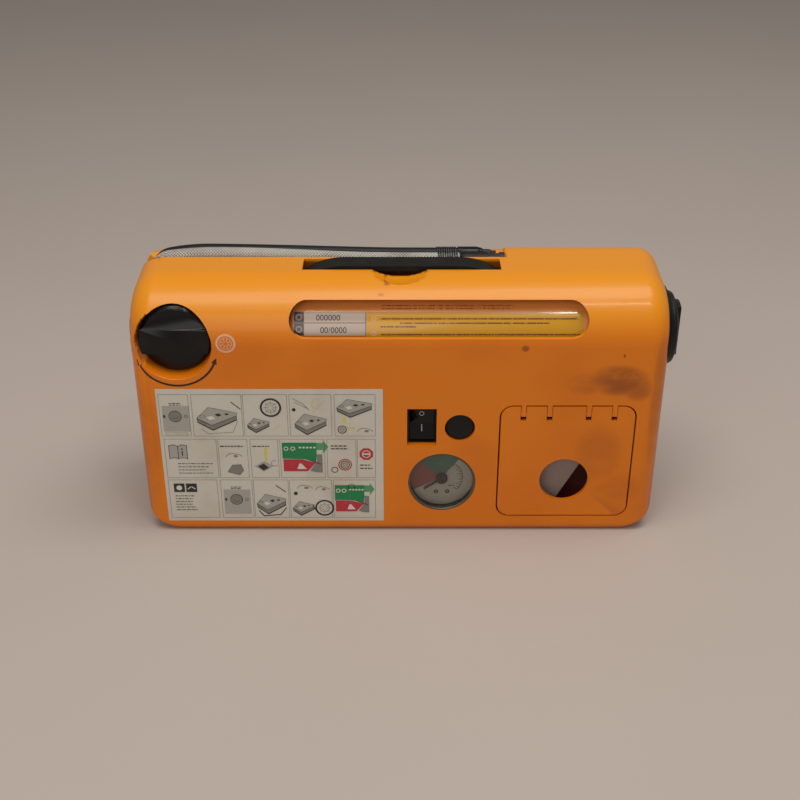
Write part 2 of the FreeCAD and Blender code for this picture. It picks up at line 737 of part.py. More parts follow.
def make_gauge():
    place = ("gauge_x", "gauge_z")
    inner = "gauge_hole_radius"
    part(turned("gauge_case", "Y", "FRONT", *place, [
        (inner, "wall"), (f"{inner} + 2", "wall"), (f"{inner} + 2", "12"),
        (f"{inner} - 4", "gauge_case_depth"),
        ("0.7", "gauge_case_depth"), ("0.7", "dial_depth + 0.8"), (inner, "dial_depth + 0.8"),
    ]), "gauge_body")
    part(turned("bezel", "Y", "FRONT", *place, [
        (f"{inner} - 1.4", "0.6"), (f"{inner} - 0.9", "0.2"), (f"{inner} - 0.3", "0.2"),
        (f"{inner} - 0.3", "dial_depth"),
        (f"{inner} - 0.9", "dial_depth"), (f"{inner} - 0.9", "2.6"), (f"{inner} - 1.4", "2.6"),
    ]), "gauge_bezel")
    part(rod("lens", "Y", f"{inner} - 1", ("FRONT + 2.6", "FRONT + 3.6"), *place), "gauge_lens")
    part(ring("dial", "Y", ("1", f"{inner} - 0.3"), ("FRONT + dial_depth", "FRONT + dial_depth + 0.8"),
              *place),
         "gauge_dial")
    hub = rod("needle_hub", "Y", "3.6", ("FRONT + 4.2", "FRONT + dial_depth - clearance"), *place)
    pivot = rod("needle_pivot", "Y", "0.6", ("FRONT + 5", "FRONT + 12"), *place)
    blade = block("needle_blade", ("0", "needle_length"), ("0", "0.5"), ("-0.6", "0.6"))
    blade.Placement.Rotation = Rotation(Vector(0, 1, 0), -size("needle_angle"))
    turn = "needle_angle * 1deg"
    bind(blade, Placement__Base__x=f"gauge_x + 0.6 * sin({turn})", Placement__Base__y="FRONT + 4.7",
         Placement__Base__z=f"gauge_z - 0.6 * cos({turn})")
    part(join("needle", hub, pivot, blade), "gauge_needle")
    part(rod("stem", "Y", "4", ("FRONT + gauge_case_depth", "FRONT + gauge_case_depth + 6"), *place),
         "gauge_stem")


# ---------------------------------------------------------------- storage compartment
def make_compartment():
    x = ("lid_left - lid_gap", "lid_right + lid_gap")
    z = ("lid_low - lid_gap", "lid_high + lid_gap")
    outside = block("tub_outside", (f"{x[0]} - tub_wall", f"{x[1]} + tub_wall"),
                    ("FRONT + wall", "FRONT + tub_depth"), (f"{z[0]} - tub_wall", f"{z[1]} + tub_wall"))
    inside = block("tub_inside", x, ("FRONT", "FRONT + tub_depth - tub_wall"), z)
    part(cut("tub", outside, inside), "storage_tub")
    plate = rounded_slab("lid_blank", ("lid_left", "lid_right"), ("FRONT", "FRONT + lid_thickness"),
                         ("lid_low", "lid_high"), size("lid_corner_radius"))
    notch_half = "(finger_width / 2 + clearance)"
    notches = [block(f"notch_{number}", (f"{place} - {notch_half}", f"{place} + {notch_half}"),
                     ("FRONT - 1", "FRONT + lid_thickness + 1"), ("lid_high - notch_drop", "lid_high + 1"))
               for number, place in enumerate(FINGERS)]
    hole = at_front("lid_finger_hole", "finger_hole_radius", "lid_thickness + 1", "finger_hole_x",
                    "finger_hole_z")
    bore = rod("lid_pin_bore", "X", "hinge_pin_radius", (f"{FINGERS[0]} - 5", f"{FINGERS[-1]} + 5"),
               HINGE_Y, HINGE_Z)
    part(cut("lid", plate, *notches, hole, bore), "compartment_lid")
    pins = [rod(f"pin_{number}", "X", "hinge_pin_radius", (f"{place} - 4", f"{place} + 4"), HINGE_Y, HINGE_Z)
            for number, place in enumerate(FINGERS)]
    part(join("pins", *pins), "lid_hinge_pins")
    part(padded("leaflet", "XZ_Plane", [
        ("lid_left + 4", "lid_low - lid_gap + 0.3"), ("lid_left + 32", "lid_low - lid_gap + 0.3"),
        ("lid_left + 57", "lid_low + 46"), ("lid_left + 57", "lid_low + 62"),
        ("lid_left + 4", "lid_low + 62"),
    ], "FRONT + 9", "3"), "stored_leaflet")


# ---------------------------------------------------------------- compressor
ROD_PLANE = "(gear_left - cylinder_radius - 0.5)"  # the connecting rod's middle plane


def involute_gear(teeth, module, addendum, dedendum, backlash, height, first_tooth):
    """A spur gear with 20 degree involute flanks, centred on a space or a tooth."""
    pitch = teeth * module / 2
    base = pitch * math.cos(math.radians(20))
    root = pitch - dedendum
    tip = pitch + addendum

    def polar(radius):
        if radius <= base:
            return 0.0
        pressure = math.acos(base / radius)
        return math.tan(pressure) - pressure

    half = math.pi / (2 * teeth) - backlash / pitch + polar(pitch)
    start = max(root, base)
    radii = [start + (tip - start) * step / 4 for step in range(5)]
    points = []
    for tooth in range(teeth):
        middle = first_tooth + 2 * math.pi * tooth / teeth
        rising = [(radius, middle - half + polar(radius)) for radius in radii]
        falling = [(radius, middle + half - polar(radius)) for radius in reversed(radii)]
        gap = [(root, middle - half)] if root < base else []
        back = [(root, middle + half)] if root < base else []
        points += gap + rising + falling + back
    outline = [Vector(0, radius * math.cos(angle), radius * math.sin(angle)) for radius, angle in points]
    face = Part.Face(Part.makePolygon(outline + outline[:1]))
    return face.extrude(Vector(height, 0, 0))


def make_gears():
    module = size("gear_module")
    left = size("gear_left")
    place = Vector(left, size("motor_y"), size("gear_z"))
    pinion = involute_gear(int(size("pinion_teeth")), module, 0.8, 1.1, 0.1, size("gear_width") + 1, 0)
    pinion.translate(place - Vector(1, 0, 0))
    shaft_bore = Part.makeCylinder(size("shaft_radius"), 20, place - Vector(5, 0, 0), AXES["X"])
    part(solid("pinion", pinion.cut(shaft_bore)), "motor_pinion")
    teeth = int(size("gear_teeth"))
    gear = involute_gear(teeth, module, 0.75, 1.15, 0.1, size("gear_width"), math.pi / teeth)
    centre = Vector(left, size("gear_y"), size("gear_z"))
    gear.translate(centre)
    web = [gear]
    for number in range(6):
        turn = math.radians(60 * number)
        hole = Vector(-1, 14 * math.cos(turn), 14 * math.sin(turn))
        web.append(Part.makeCylinder(4, size("gear_width") + 2, centre + hole, AXES["X"]))
    pierced = web[0].cut(web[1:])
    bore = Part.makeCylinder(3, size("gear_width") + 2, centre - Vector(1, 0, 0), AXES["X"])
    part(solid("gear", pierced.cut(bore)), "crank_gear")


def make_compressor():
    axis = ("motor_y", "gear_z")
    part(ring("can", "X", ("shaft_radius + running_fit", "motor_radius"), ("motor_left", "motor_right"),
              *axis),
         "motor_can")
    part(rod("can_cap", "X", "motor_radius - 1", ("motor_right", "motor_right + motor_cap"), *axis),
         "motor_end_cap")
    part(rod("shaft", "X", "shaft_radius", ("gear_left - 1", "motor_right - 0.2"), *axis), "motor_shaft")
    make_gears()
    gear_axis = ("gear_y", "gear_z")
    arbor_end = "motor_left - 0.2"
    part(rod("arbor", "X", "3", ("gear_left - 0.2", arbor_end), *gear_axis), "gear_arbor")
    plate = block("frame_plate", ("motor_left - frame_plate", "motor_left"),
                  ("motor_y - motor_radius - 2.5", "case_depth / 2 - wall"),
                  ("head_low + head_height + 3", "gear_z + gear_teeth / 2 + 2"))
    saddle = block("saddle", (ROD_PLANE, "motor_left - frame_plate"),
                   ("gear_y - cylinder_radius", "gear_y + cylinder_radius"),
                   ("head_low + head_height + 6", "gear_z - pinion_teeth * 2 - 2"))
    plate_bores = [
        rod("plate_shaft_bore", "X", "shaft_radius + running_fit", ("motor_left - 10", "motor_left + 2"),
            *axis),
        rod("plate_arbor_bore", "X", "3 + running_fit", ("motor_left - 10", "motor_left + 2"), *gear_axis),
        rod("saddle_bore", "Z", "cylinder_radius + 0.02", ("head_low", "gear_z"), ROD_PLANE, "gear_y"),
    ]
    part(cut("gearbox", join("gearbox_solid", plate, saddle), *plate_bores), "gearbox_frame")
    part(rod("crank", "X", "crank_pin_radius", (f"{ROD_PLANE} + rod_thickness / 2 + clearance", "gear_left"),
             "gear_y", "gear_z - crank_radius"), "crank_pin")
    make_piston()


def make_piston():
    centre = (ROD_PLANE, "gear_y")
    base = "head_low + head_height"
    lift = f"{base} + 0.5"
    pin_z = "gear_z - crank_radius"
    thickness = (f"{ROD_PLANE} - rod_thickness / 2", f"{ROD_PLANE} + rod_thickness / 2")
    eye = rod("rod_eye", "X", "5", thickness, "gear_y", pin_z)
    shank = block("rod_shank", thickness, ("gear_y - 2.5", "gear_y + 2.5"),
                  (f"{lift} + piston_height", pin_z))
    part(join("conrod", eye, shank), "connecting_rod")
    part(turned("piston_body", "Z", lift, *centre, [
        ("0", "0"), ("bore_radius - 0.5", "0"), ("bore_radius - 0.5", "1.5"), ("bore_radius - 1.8", "1.5"),
        ("bore_radius - 1.8", "4"), ("bore_radius - running_fit", "4"),
        ("bore_radius - running_fit", "piston_height"),
        ("0", "piston_height"),
    ]), "piston")
    part(ring("piston_ring", "Z", ("bore_radius - 1.8", "bore_radius - running_fit"),
              (f"{lift} + 1.6", f"{lift} + 3.9"), *centre), "piston_seal")
    head_x = (f"{ROD_PLANE} - 13", f"{ROD_PLANE} + 11.5")
    head_y = ("gear_y - 13", "gear_y + 13")
    flange = block("barrel_flange", head_x, head_y, (base, f"{base} + 4"))
    tube_wall = rod("barrel_tube", "Z", "cylinder_radius", (base, f"{base} + barrel_height"), *centre)
    barrel = join("barrel_solid", tube_wall, flange)
    bolts = [(x, y) for x in (f"{ROD_PLANE} - 10.6", f"{ROD_PLANE} + 9.4")
             for y in ("gear_y - 10.6", "gear_y + 10.6")]
    holes = [rod(f"bolt_hole_{number}", "Z", "1.3", ("head_low - 1", f"{base} + 5"), *place)
             for number, place in enumerate(bolts)]
    bore = rod("barrel_bore", "Z", "bore_radius", ("head_low", "gear_z"), *centre)
    part(cut("barrel", barrel, bore, *holes), "cylinder_barrel")
    head = block("head_block", head_x, head_y, ("head_low", base))
    head_holes = [rod(f"head_hole_{number}", "Z", "1.3", ("head_low + 1", f"{base} + 1"), *place)
                  for number, place in enumerate(bolts)]
    part(cut("head", head, *head_holes), "cylinder_head")
    bolt_parts = [rod(f"head_bolt_{number}", "Z", "1.25", ("head_low + 1.5", f"{base} + 4.5"), *place)
                  for number, place in enumerate(bolts)]
    bolt_parts += [rod(f"head_bolt_head_{number}", "Z", "2", (f"{base} + 4", f"{base} + 5.5"), *place)
                   for number, place in enumerate(bolts)]
    part(join("head_bolts", *bolt_parts), "head_screws")


# ---------------------------------------------------------------- tubes and hoses
def bent_path(points, radii):
    """Straight runs joined by tangent arcs of the given radii."""
    edges = []
    here = points[0]
    for before, corner, after, radius in zip(points, points[1:], points[2:], radii):
        inward = (corner - before).normalize()
        onward = (after - corner).normalize()
        turn = inward.getAngle(onward)
        setback = radius * math.tan(turn / 2)
        start = corner - inward * setback
        end = corner + onward * setback
        towards = (onward - inward).normalize()
        centre = corner + towards * (radius / math.cos(turn / 2))
        middle = centre - towards * radius
        edges += [Part.LineSegment(here, start).toShape(), Part.Arc(start, middle, end).toShape()]
        here = end
    edges.append(Part.LineSegment(here, points[-1]).toShape())
    return Part.Wire(edges)


def free_radii(points):
    """The largest tangent arcs that a route's runs leave room for."""
    radii = []
    for before, corner, after in zip(points, points[1:], points[2:]):
        shorter = min((corner - before).Length, (after - corner).Length)
        turn = (corner - before).getAngle(after - corner)
        radii.append(0.45 * shorter / math.tan(turn / 2))
    return radii


def tube(name, label, points, radius, bore=0.0):
    """A round tube along a route; its volume is compared with section times length."""
    points = [Vector(*point) for point in points]
    radii = free_radii(points)
    path = bent_path(points, radii)
    direction = (points[1] - points[0]).normalize()

    def swept(tube_radius):
        profile = Part.Wire(Part.makeCircle(tube_radius, points[0], direction))
        return path.makePipeShell([profile], True, False)

    shape = swept(radius)
    if bore:
        shape = shape.cut(swept(bore))
    expected = math.pi * (radius ** 2 - bore ** 2) * path.Length
    print(f"{label}: length {path.Length:.1f} mm, least bend radius {min(radii):.1f} mm, "
          f"volume ratio {shape.Volume / expected:.4f}")
    return part(solid(name, shape), label)


# Each hose's route in the groove, as (x, z) of its centre.
WHITE_ROUTE = [
    (148.2, 70.7), (148.3, 61.0), (148.2, 4.9), (88.0, 4.7), (10.0, 5.0), (-80.0, 4.7), (-148.2, 4.8),
    (-148.4, 60.0), (-148.2, 97.0), (-148.0, 153.5), (-122.0, 157.0), (-92.0, 156.9), (-62.0, 155.8),
    (-32.0, 154.2), (-4.0, 153.6), (35.0, 153.6),
]
BLACK_ROUTE = [
    (148.6, 70.7), (148.7, 60.0), (148.6, 4.3), (86.0, 4.1), (6.0, 4.4), (-84.0, 4.1), (-148.6, 4.2),
    (-148.8, 59.0), (-148.6, 96.0), (-148.4, 151.8), (-124.0, 156.4), (-100.0, 156.2), (-60.0, 155.3),
    (-22.0, 154.2), (-2.0, 153.8), (34.3, 153.8),
]


def in_plane(route, depth):
    y = size(depth) - size("case_depth") / 2
    return [(x, y, z) for x, z in route]


def make_hoses():
    tube("white_line", "white_hose", in_plane(WHITE_ROUTE, "white_hose_depth"), size("white_hose_radius"))
    tube("black_line", "black_hose", in_plane(BLACK_ROUTE, "black_hose_depth"), size("black_hose_radius"))
    white = ("FRONT + white_hose_depth", "white_line_z")
    black = ("FRONT + black_hose_depth", "black_line_z")
    part(ring("spring_white", "X", ("white_hose_radius + 0.03", "white_hose_radius + 0.5"),
              ("white_fitting_left - spring_length", "white_fitting_left"), *white), "white_hose_spring")
    part(ring("spring_black", "X", ("black_hose_radius + 0.03", "black_hose_radius + 0.6"),
              ("black_fitting_left - spring_length", "black_fitting_left"), *black), "black_hose_spring")
    part(turned("fitting_white", "X", "white_fitting_left", *white, [
        ("0", "0"), ("4.1", "0"), ("4.1", "3"), ("4.4", "3.2"), ("4.4", "16.3"), ("0", "16.3"),
    ]), "white_connector")
    part(turned("fitting_white_cap", "X", "white_fitting_left + 16.3", *white, [
        ("0", "0"), ("3.6", "0"), ("3.6", "7"), ("4.3", "7"), ("4.3", "10.2"), ("0", "10.2"),
    ]), "white_connector_cap")
    part(turned("fitting_black", "X", "black_fitting_left", *black, [
        ("0", "0"), ("4.1", "0"), ("4.1", "11.5"), ("3.6", "13"), ("3.2", "14.7"), ("0", "14.7"),
    ]), "black_connector")
    part(turned("tip_black", "X", "black_fitting_left + 14.7", *black, [
        ("0", "0"), ("2.6", "0"), ("2.6", "4"), ("1.8", "6"), ("1.8", "8"), ("0", "8"),
    ]), "black_nozzle")
    seat = ("PARTING - groove_width / 2 + 0.2", "PARTING + groove_width / 2 - 0.2")
    part(block("outlets", ("case_width / 2 - groove_depth + 0.1", "case_width / 2 - 0.6"), seat,
               ("groove_side_end - 4", "groove_side_end - 0.1")), "hose_outlets")


def make_inner_tubes():
    head_z = size("head_low") + 2.6
    gear_y = size("gear_y")
    left = evaluate(ROD_PLANE) - 13
    valve_low = size("knob_z") - size("valve_half_width")
    tube("delivery", "delivery_tube", [
        (left, gear_y, head_z), (left - 10, gear_y, head_z), (left - 11, gear_y - 2, 38),
        (left - 10, gear_y - 3, 66), (left - 10, gear_y - 14, 90), (left - 10, gear_y - 14, valve_low),
    ], 2.2, 1.2)
    valve_back = size("valve_back_depth") - size("case_depth") / 2
    gauge_x, gauge_z = size("gauge_x"), size("gauge_z")
    stem_end = size("gauge_case_depth") + 6 - size("case_depth") / 2
    tube("gauge_line", "gauge_tube", [
        (-104, valve_back, 116), (-104, 33, 116), (-95, 34, 98), (-30, 34, 97), (gauge_x - 8, 34, 96),
        (gauge_x, 33.5, 60), (gauge_x, 33, gauge_z), (gauge_x, stem_end, gauge_z),
    ], 2, 1.1)


def make_panel_sheet():
    part(block("panel_sheet", ("sticker_left", "sticker_right"), ("FRONT - sticker_thickness", "FRONT"),
               ("sticker_low", "sticker_high")), "instruction_sticker")
    part(rod("gland", "Y", "5", ("FRONT + tub_depth - tub_wall - 6", "FRONT + tub_depth - tub_wall"), "124",
             "20"),
         "lead_gland")


# ---------------------------------------------------------------- build, check and write
make_case()
make_handle()
make_selector()
make_cartridge()
make_switch()
make_button()
make_gauge()
make_compartment()
make_compressor()
make_hoses()
make_inner_tubes()
make_panel_sheet()
doc.recompute()

for thing in doc.Objects:
    if {"Invalid", "Error"} & set(thing.State):
        raise RuntimeError(f"{thing.Label} did not build: {thing.State}")
for thing in PARTS:
    if thing.Shape.isNull() or not thing.Shape.isValid():
        raise RuntimeError(f"{thing.Label} has no valid shape")

os.makedirs("parts", exist_ok=True)
for thing in PARTS:
    thing.Shape.exportStep(f"parts/{thing.Label}.step")
    print(f"{thing.Label}: {len(thing.Shape.Solids)} solid(s), {thing.Shape.Volume / 1000:.2f} cm3")
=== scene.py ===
# %% [markdown]
# # A portable tyre compressor in an orange case
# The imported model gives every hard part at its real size. This lesson dresses it: it joins each
# part's loose triangles into a smooth skin, winds the springs, lays the hoses in their groove,
# prints the panel sheet and the dial, and gives every surface a finish worked out by formulas.

# %% Load the frame
import json
import math

import bmesh
import bpy
import numpy as np
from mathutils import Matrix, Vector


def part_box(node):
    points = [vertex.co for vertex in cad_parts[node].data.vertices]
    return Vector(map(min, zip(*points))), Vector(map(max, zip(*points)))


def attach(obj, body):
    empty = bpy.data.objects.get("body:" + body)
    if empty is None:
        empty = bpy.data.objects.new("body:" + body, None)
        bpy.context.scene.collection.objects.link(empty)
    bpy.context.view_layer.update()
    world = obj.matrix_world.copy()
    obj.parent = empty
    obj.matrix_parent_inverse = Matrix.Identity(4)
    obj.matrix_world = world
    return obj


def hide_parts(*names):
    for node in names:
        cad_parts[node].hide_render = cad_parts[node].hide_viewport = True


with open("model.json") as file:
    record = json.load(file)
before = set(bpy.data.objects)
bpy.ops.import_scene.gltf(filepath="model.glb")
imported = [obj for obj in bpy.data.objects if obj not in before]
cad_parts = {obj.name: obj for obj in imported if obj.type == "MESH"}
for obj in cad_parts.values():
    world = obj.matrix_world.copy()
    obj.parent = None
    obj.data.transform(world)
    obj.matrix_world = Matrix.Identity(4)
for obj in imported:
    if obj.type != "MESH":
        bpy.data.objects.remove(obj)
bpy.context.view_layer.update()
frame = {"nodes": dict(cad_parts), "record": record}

MM = 0.001
record = frame["record"]
nodes = frame["nodes"]
body_of_node = {node: body for body, members in record["behaviour"]["bodies"].items()
                for node in members}
print("parts in the frame:", len(nodes))

# %% [markdown]
# ## Places
# Everything that is added sits on something that is already there, so its place is read from the
# boxes of the parts: the front panel's plane, the axes of the gauge and the cartridge.

# %% Read places from the parts
def middle(node):
    """The centre of a part's box."""
    low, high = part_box(node)
    return tuple((a + b) / 2 for a, b in zip(low, high))


def reach(node, axis):
    """How far a part runs along X, Y or Z: its lowest and highest value."""
    low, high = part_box(node)
    index = "XYZ".index(axis)
    return low[index], high[index]


FRONT = reach("front_shell", "Y")[0]
TOP = reach("front_shell", "Z")[1]
gauge_x, _, gauge_z = middle("gauge_dial")
_, bottle_y, bottle_z = middle("sealant_bottle")
bottle_radius = (reach("sealant_bottle", "Z")[1] - reach("sealant_bottle", "Z")[0]) / 2
print("front plane at", round(FRONT, 4), "top at", round(TOP, 4))

# %% [markdown]
# ## Camera, light and floor
# The object is seen from the front and well above, through a slightly long lens. A big soft lamp
# overhead draws the pale band along the rounded crown, and a weaker one in front fills the panel.

# %% Camera, light and floor
CAMERA_DISTANCE = 0.688
CAMERA_PITCH = math.radians(29)
LENS = 54
aim = (0, FRONT, 0.0907)

camera_data = bpy.data.cameras.new("camera")
camera_data.lens = LENS
camera_data.sensor_width = 36
camera = bpy.data.objects.new("camera", camera_data)
camera.location = (aim[0], aim[1] - CAMERA_DISTANCE * math.cos(CAMERA_PITCH),
                   aim[2] + CAMERA_DISTANCE * math.sin(CAMERA_PITCH))
camera.rotation_euler = (math.pi / 2 - CAMERA_PITCH, 0, 0)
bpy.context.collection.objects.link(camera)
bpy.context.scene.camera = camera


def soft_lamp(name, place, target, size, power, colour):
    """A rectangular lamp that points at a target."""
    data = bpy.data.lights.new(name, "AREA")
    data.shape = "RECTANGLE"
    data.size, data.size_y = size
    data.energy = power
    data.color = colour
    lamp = bpy.data.objects.new(name, data)
    lamp.location = place
    away = np.array(place) - np.array(target)
    lamp.rotation_euler = (math.atan2(math.hypot(away[0], away[1]), away[2]), 0,
                           math.atan2(away[0], -away[1]))
    bpy.context.collection.objects.link(lamp)


soft_lamp("ceiling_lamp", (0.1, -0.2, 1.5), (0, 0, 0.1), (1.6, 0.6), 14.2, (1, 0.95, 0.88))
soft_lamp("crown_glint", (0.40, -0.72, 1.5), (0.1, 0, 0.1), (0.26, 0.05), 1.6, (1, 0.95, 0.92))
soft_lamp("bottle_glint", (-0.05, -0.86, 1.38), (0, 0, 0.12), (1.0, 0.03), 0.5, (1, 0.95, 0.92))
soft_lamp("front_fill", (-0.5, -1.6, 0.9), (0, 0, 0.08), (1.2, 1.0), 5.9, (1, 0.95, 0.9))
world = bpy.data.worlds.new("studio")
world.use_nodes = True
world.node_tree.nodes["Background"].inputs["Color"].default_value = (0.95, 0.9, 0.86, 1)
world.node_tree.nodes["Background"].inputs["Strength"].default_value = 0.27
bpy.context.scene.world = world
bpy.context.scene.view_settings.view_transform = "Standard"
print("camera looks down", round(math.degrees(CAMERA_PITCH), 1), "degrees")

# %% [markdown]
# ## Writing finishes as sums
# A finish is a formula over the surface. `Value` wraps one number in the shader, so that
# `mask * 2 + 1` adds the nodes by itself, and `Finish` holds a material and its few tools.

# %% Shader arithmetic
class Value:
    """A number that varies over the surface; arithmetic on it adds Math nodes."""

    def __init__(self, finish, socket):
        self.finish = finish
        self.socket = socket

    def __add__(self, other):
        return self.finish.maths("ADD", self, other)

    def __sub__(self, other):
        return self.finish.maths("SUBTRACT", self, other)

    def __rsub__(self, other):
        return self.finish.maths("SUBTRACT", other, self)

    def __mul__(self, other):
        return self.finish.maths("MULTIPLY", self, other)

    def __truediv__(self, other):
        return self.finish.maths("DIVIDE", self, other)

    def __pow__(self, other):
        return self.finish.maths("POWER", self, other)

    __radd__ = __add__
    __rmul__ = __mul__

    def sine(self):
        return self.finish.maths("SINE", self)

    def size(self):
        return self.finish.maths("ABSOLUTE", self)

    def least(self, other):
        return self.finish.maths("MINIMUM", self, other)

    def most(self, other):
        return self.finish.maths("MAXIMUM", self, other)

    def rises(self, low, high):
        """0 below low, 1 above high, smooth between."""
        node = self.finish.node("ShaderNodeMapRange", {"interpolation_type": "SMOOTHSTEP"},
                                {"Value": self, "From Min": low, "From Max": high})
        return Value(self.finish, node.outputs["Result"])

    def between(self, low, high, soft):
        """1 between low and high, with soft ends."""
        return self.rises(low - soft, low + soft) * (1 - self.rises(high - soft, high + soft))


class Finish:
    """A material: uniform values are set once, varying ones are linked."""

    def __init__(self, name, **uniform):
        self.material = bpy.data.materials.new(name)
        self.material.use_nodes = True
        self.tree = self.material.node_tree
        self.shader = self.tree.nodes["Principled BSDF"]
        for socket, value in uniform.items():
            self.shader.inputs[socket.replace("_", " ")].default_value = value
        self.place = self.node("ShaderNodeTexCoord").outputs["Object"]
        split = self.node("ShaderNodeSeparateXYZ", {}, {"Vector": self.place})
        self.x, self.y, self.z = (Value(self, output) for output in split.outputs)

    def node(self, kind, settings=None, sockets=None):
        """Any node: its settings first, then the values or links of its sockets."""
        node = self.tree.nodes.new(kind)
        for name, value in (settings or {}).items():
            setattr(node, name, value)
        for name, value in (sockets or {}).items():
            self.feed(node.inputs[name], value)
        return node

    def feed(self, socket, value):
        if isinstance(value, Value):
            value = value.socket
        if isinstance(value, bpy.types.NodeSocket):
            self.tree.links.new(value, socket)
        else:
            socket.default_value = value

    def maths(self, operation, *values):
        node = self.node("ShaderNodeMath", {"operation": operation}, dict(enumerate(values)))
        return Value(self, node.outputs[0])

    def noise(self, scale, detail=2.0, roughness=0.5, vector=None, stretch=None):
        """Soft cloudy noise, about 0 to 1, scale in patches per metre."""
        vector = vector or self.place
        if stretch:
            vector = self.node("ShaderNodeMapping", {}, {"Vector": vector, "Scale": stretch}).outputs[0]
        node = self.node("ShaderNodeTexNoise", {}, {"Vector": vector, "Scale": scale, "Detail": detail,
                                                    "Roughness": roughness})
        return Value(self, node.outputs["Fac"])

    def cells(self, scale):
        """Distance to the nearest of many scattered points."""
        node = self.node("ShaderNodeTexVoronoi", {}, {"Vector": self.place, "Scale": scale})
        return Value(self, node.outputs["Distance"])

    def blend(self, factor, first, second):
        """A colour that goes from first to second."""
        node = self.node("ShaderNodeMix", {"data_type": "RGBA"}, {0: factor, 6: first, 7: second})
        return node.outputs[2]

    def colour(self, value):
        self.feed(self.shader.inputs["Base Color"], value)
        return self

    def rough(self, value):
        self.feed(self.shader.inputs["Roughness"], value)
        return self

    def relief(self, height, depth):
        """Bump: height 0 to 1, depth in metres."""
        bump = self.node("ShaderNodeBump", {}, {"Height": height, "Distance": depth, "Strength": 1.0})
        self.feed(self.shader.inputs["Normal"], bump.outputs["Normal"])
        return self


def tone(red, green, blue):
    """A colour given as it looks on a screen, 0 to 255, turned into linear light."""
    levels = np.array([red, green, blue]) / 255
    linear = np.where(levels <= 0.04045, levels / 12.92, ((levels + 0.055) / 1.055) ** 2.4)
    return (*linear.tolist(), 1.0)


print("a check of tone:", tuple(round(c, 3) for c in tone(225, 140, 35)))

# %% [markdown]
# ## Surfaces from grids
# A tube, a spring and a label are all one sheet of squares, bent: a grid of points worked out as
# whole arrays. Only the faces' corner numbers and the points are handed to Blender.

# %% Surfaces from grids
def sheet_of(name, points, wrap_v=False, uv=None):
    """A mesh from an (m, n, 3) grid of points; wrapped, each row is joined end to start."""
    rows, columns = points.shape[:2]
    u = np.arange(rows - 1)
    v = np.arange(columns if wrap_v else columns - 1)
    a, b = np.meshgrid(u, v, indexing="ij")
    a_next = a + 1
    b_next = (b + 1) % columns
    corners = np.stack([a * columns + b, a_next * columns + b,
                        a_next * columns + b_next, a * columns + b_next], -1)
    mesh = bpy.data.meshes.new(name)
    mesh.from_pydata(points.reshape(-1, 3), [], corners.reshape(-1, 4).tolist())
    if uv is not None:
        au, bv = a + 1, b + 1  # a UV grid is never wrapped
        layer = mesh.uv_layers.new(name="UVMap")
        quads = np.stack([uv[a, b], uv[au, b], uv[au, bv], uv[a, bv]], 2)
        layer.data.foreach_set("uv", quads.reshape(-1))
    mesh.shade_smooth()
    piece = bpy.data.objects.new(name, mesh)
    bpy.context.collection.objects.link(piece)
    return piece


def tube_points(path, radius, sides, reference):
    """Rings round a path: radius times (cos a, sin a) on two axes square to the path's direction.

    The first axis is the direction crossed with a reference that the path never runs along."""
    ahead = np.gradient(path, axis=0)
    ahead /= np.linalg.norm(ahead, axis=1, keepdims=True)
    first = np.cross(ahead, reference)
    first /= np.linalg.norm(first, axis=1, keepdims=True)
    second = np.cross(ahead, first)
    angle = np.linspace(0, 2 * math.pi, sides, endpoint=False)
    ring = first[:, None] * np.cos(angle)[None, :, None] + second[:, None] * np.sin(angle)[None, :, None]
    return path[:, None] + ring * np.reshape(radius, (-1, 1, 1))


def dress(piece, finish, body="case", replaces=()):
    """Gives a piece its finish, the body it rides on and the parts it stands for."""
    piece.data.materials.clear()
    piece.data.materials.append(finish.material)
    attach(piece, body)
    if replaces:
        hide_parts(*replaces)
    return piece


# %% [markdown]
# ## The hoses
# Two hoses of about two thirds of a metre lie in the groove that runs round the case: a rubber one
# and a slightly thicker one in a pale braid. Each route is the same list of points as the hard
# model's, smoothed by a NURBS line, and the braid is woven over the tube's own length.

# %% Hose routes
WHITE_Y = middle("white_hose_spring")[1]
BLACK_Y = middle("black_hose_spring")[1]
WHITE_ROUTE = [
    (0.1482, 0.0707), (0.1483, 0.061), (0.1482, 0.0049), (0.088, 0.0047), (0.01, 0.005), (-0.08, 0.0047),
    (-0.1482, 0.0048), (-0.1484, 0.06), (-0.1482, 0.097), (-0.148, 0.1535), (-0.122, 0.157),
    (-0.092, 0.1569), (-0.062, 0.1558), (-0.032, 0.1542), (-0.004, 0.1536), (0.035, 0.1536),
]
BLACK_ROUTE = [
    (0.1486, 0.0707), (0.1487, 0.06), (0.1486, 0.0043), (0.086, 0.0041), (0.006, 0.0044), (-0.084, 0.0041),
    (-0.1486, 0.0042), (-0.1488, 0.059), (-0.1486, 0.096), (-0.1484, 0.1518), (-0.124, 0.1564),
    (-0.1, 0.1562), (-0.06, 0.1553), (-0.022, 0.1542), (-0.002, 0.1538), (0.0343, 0.1538),
]


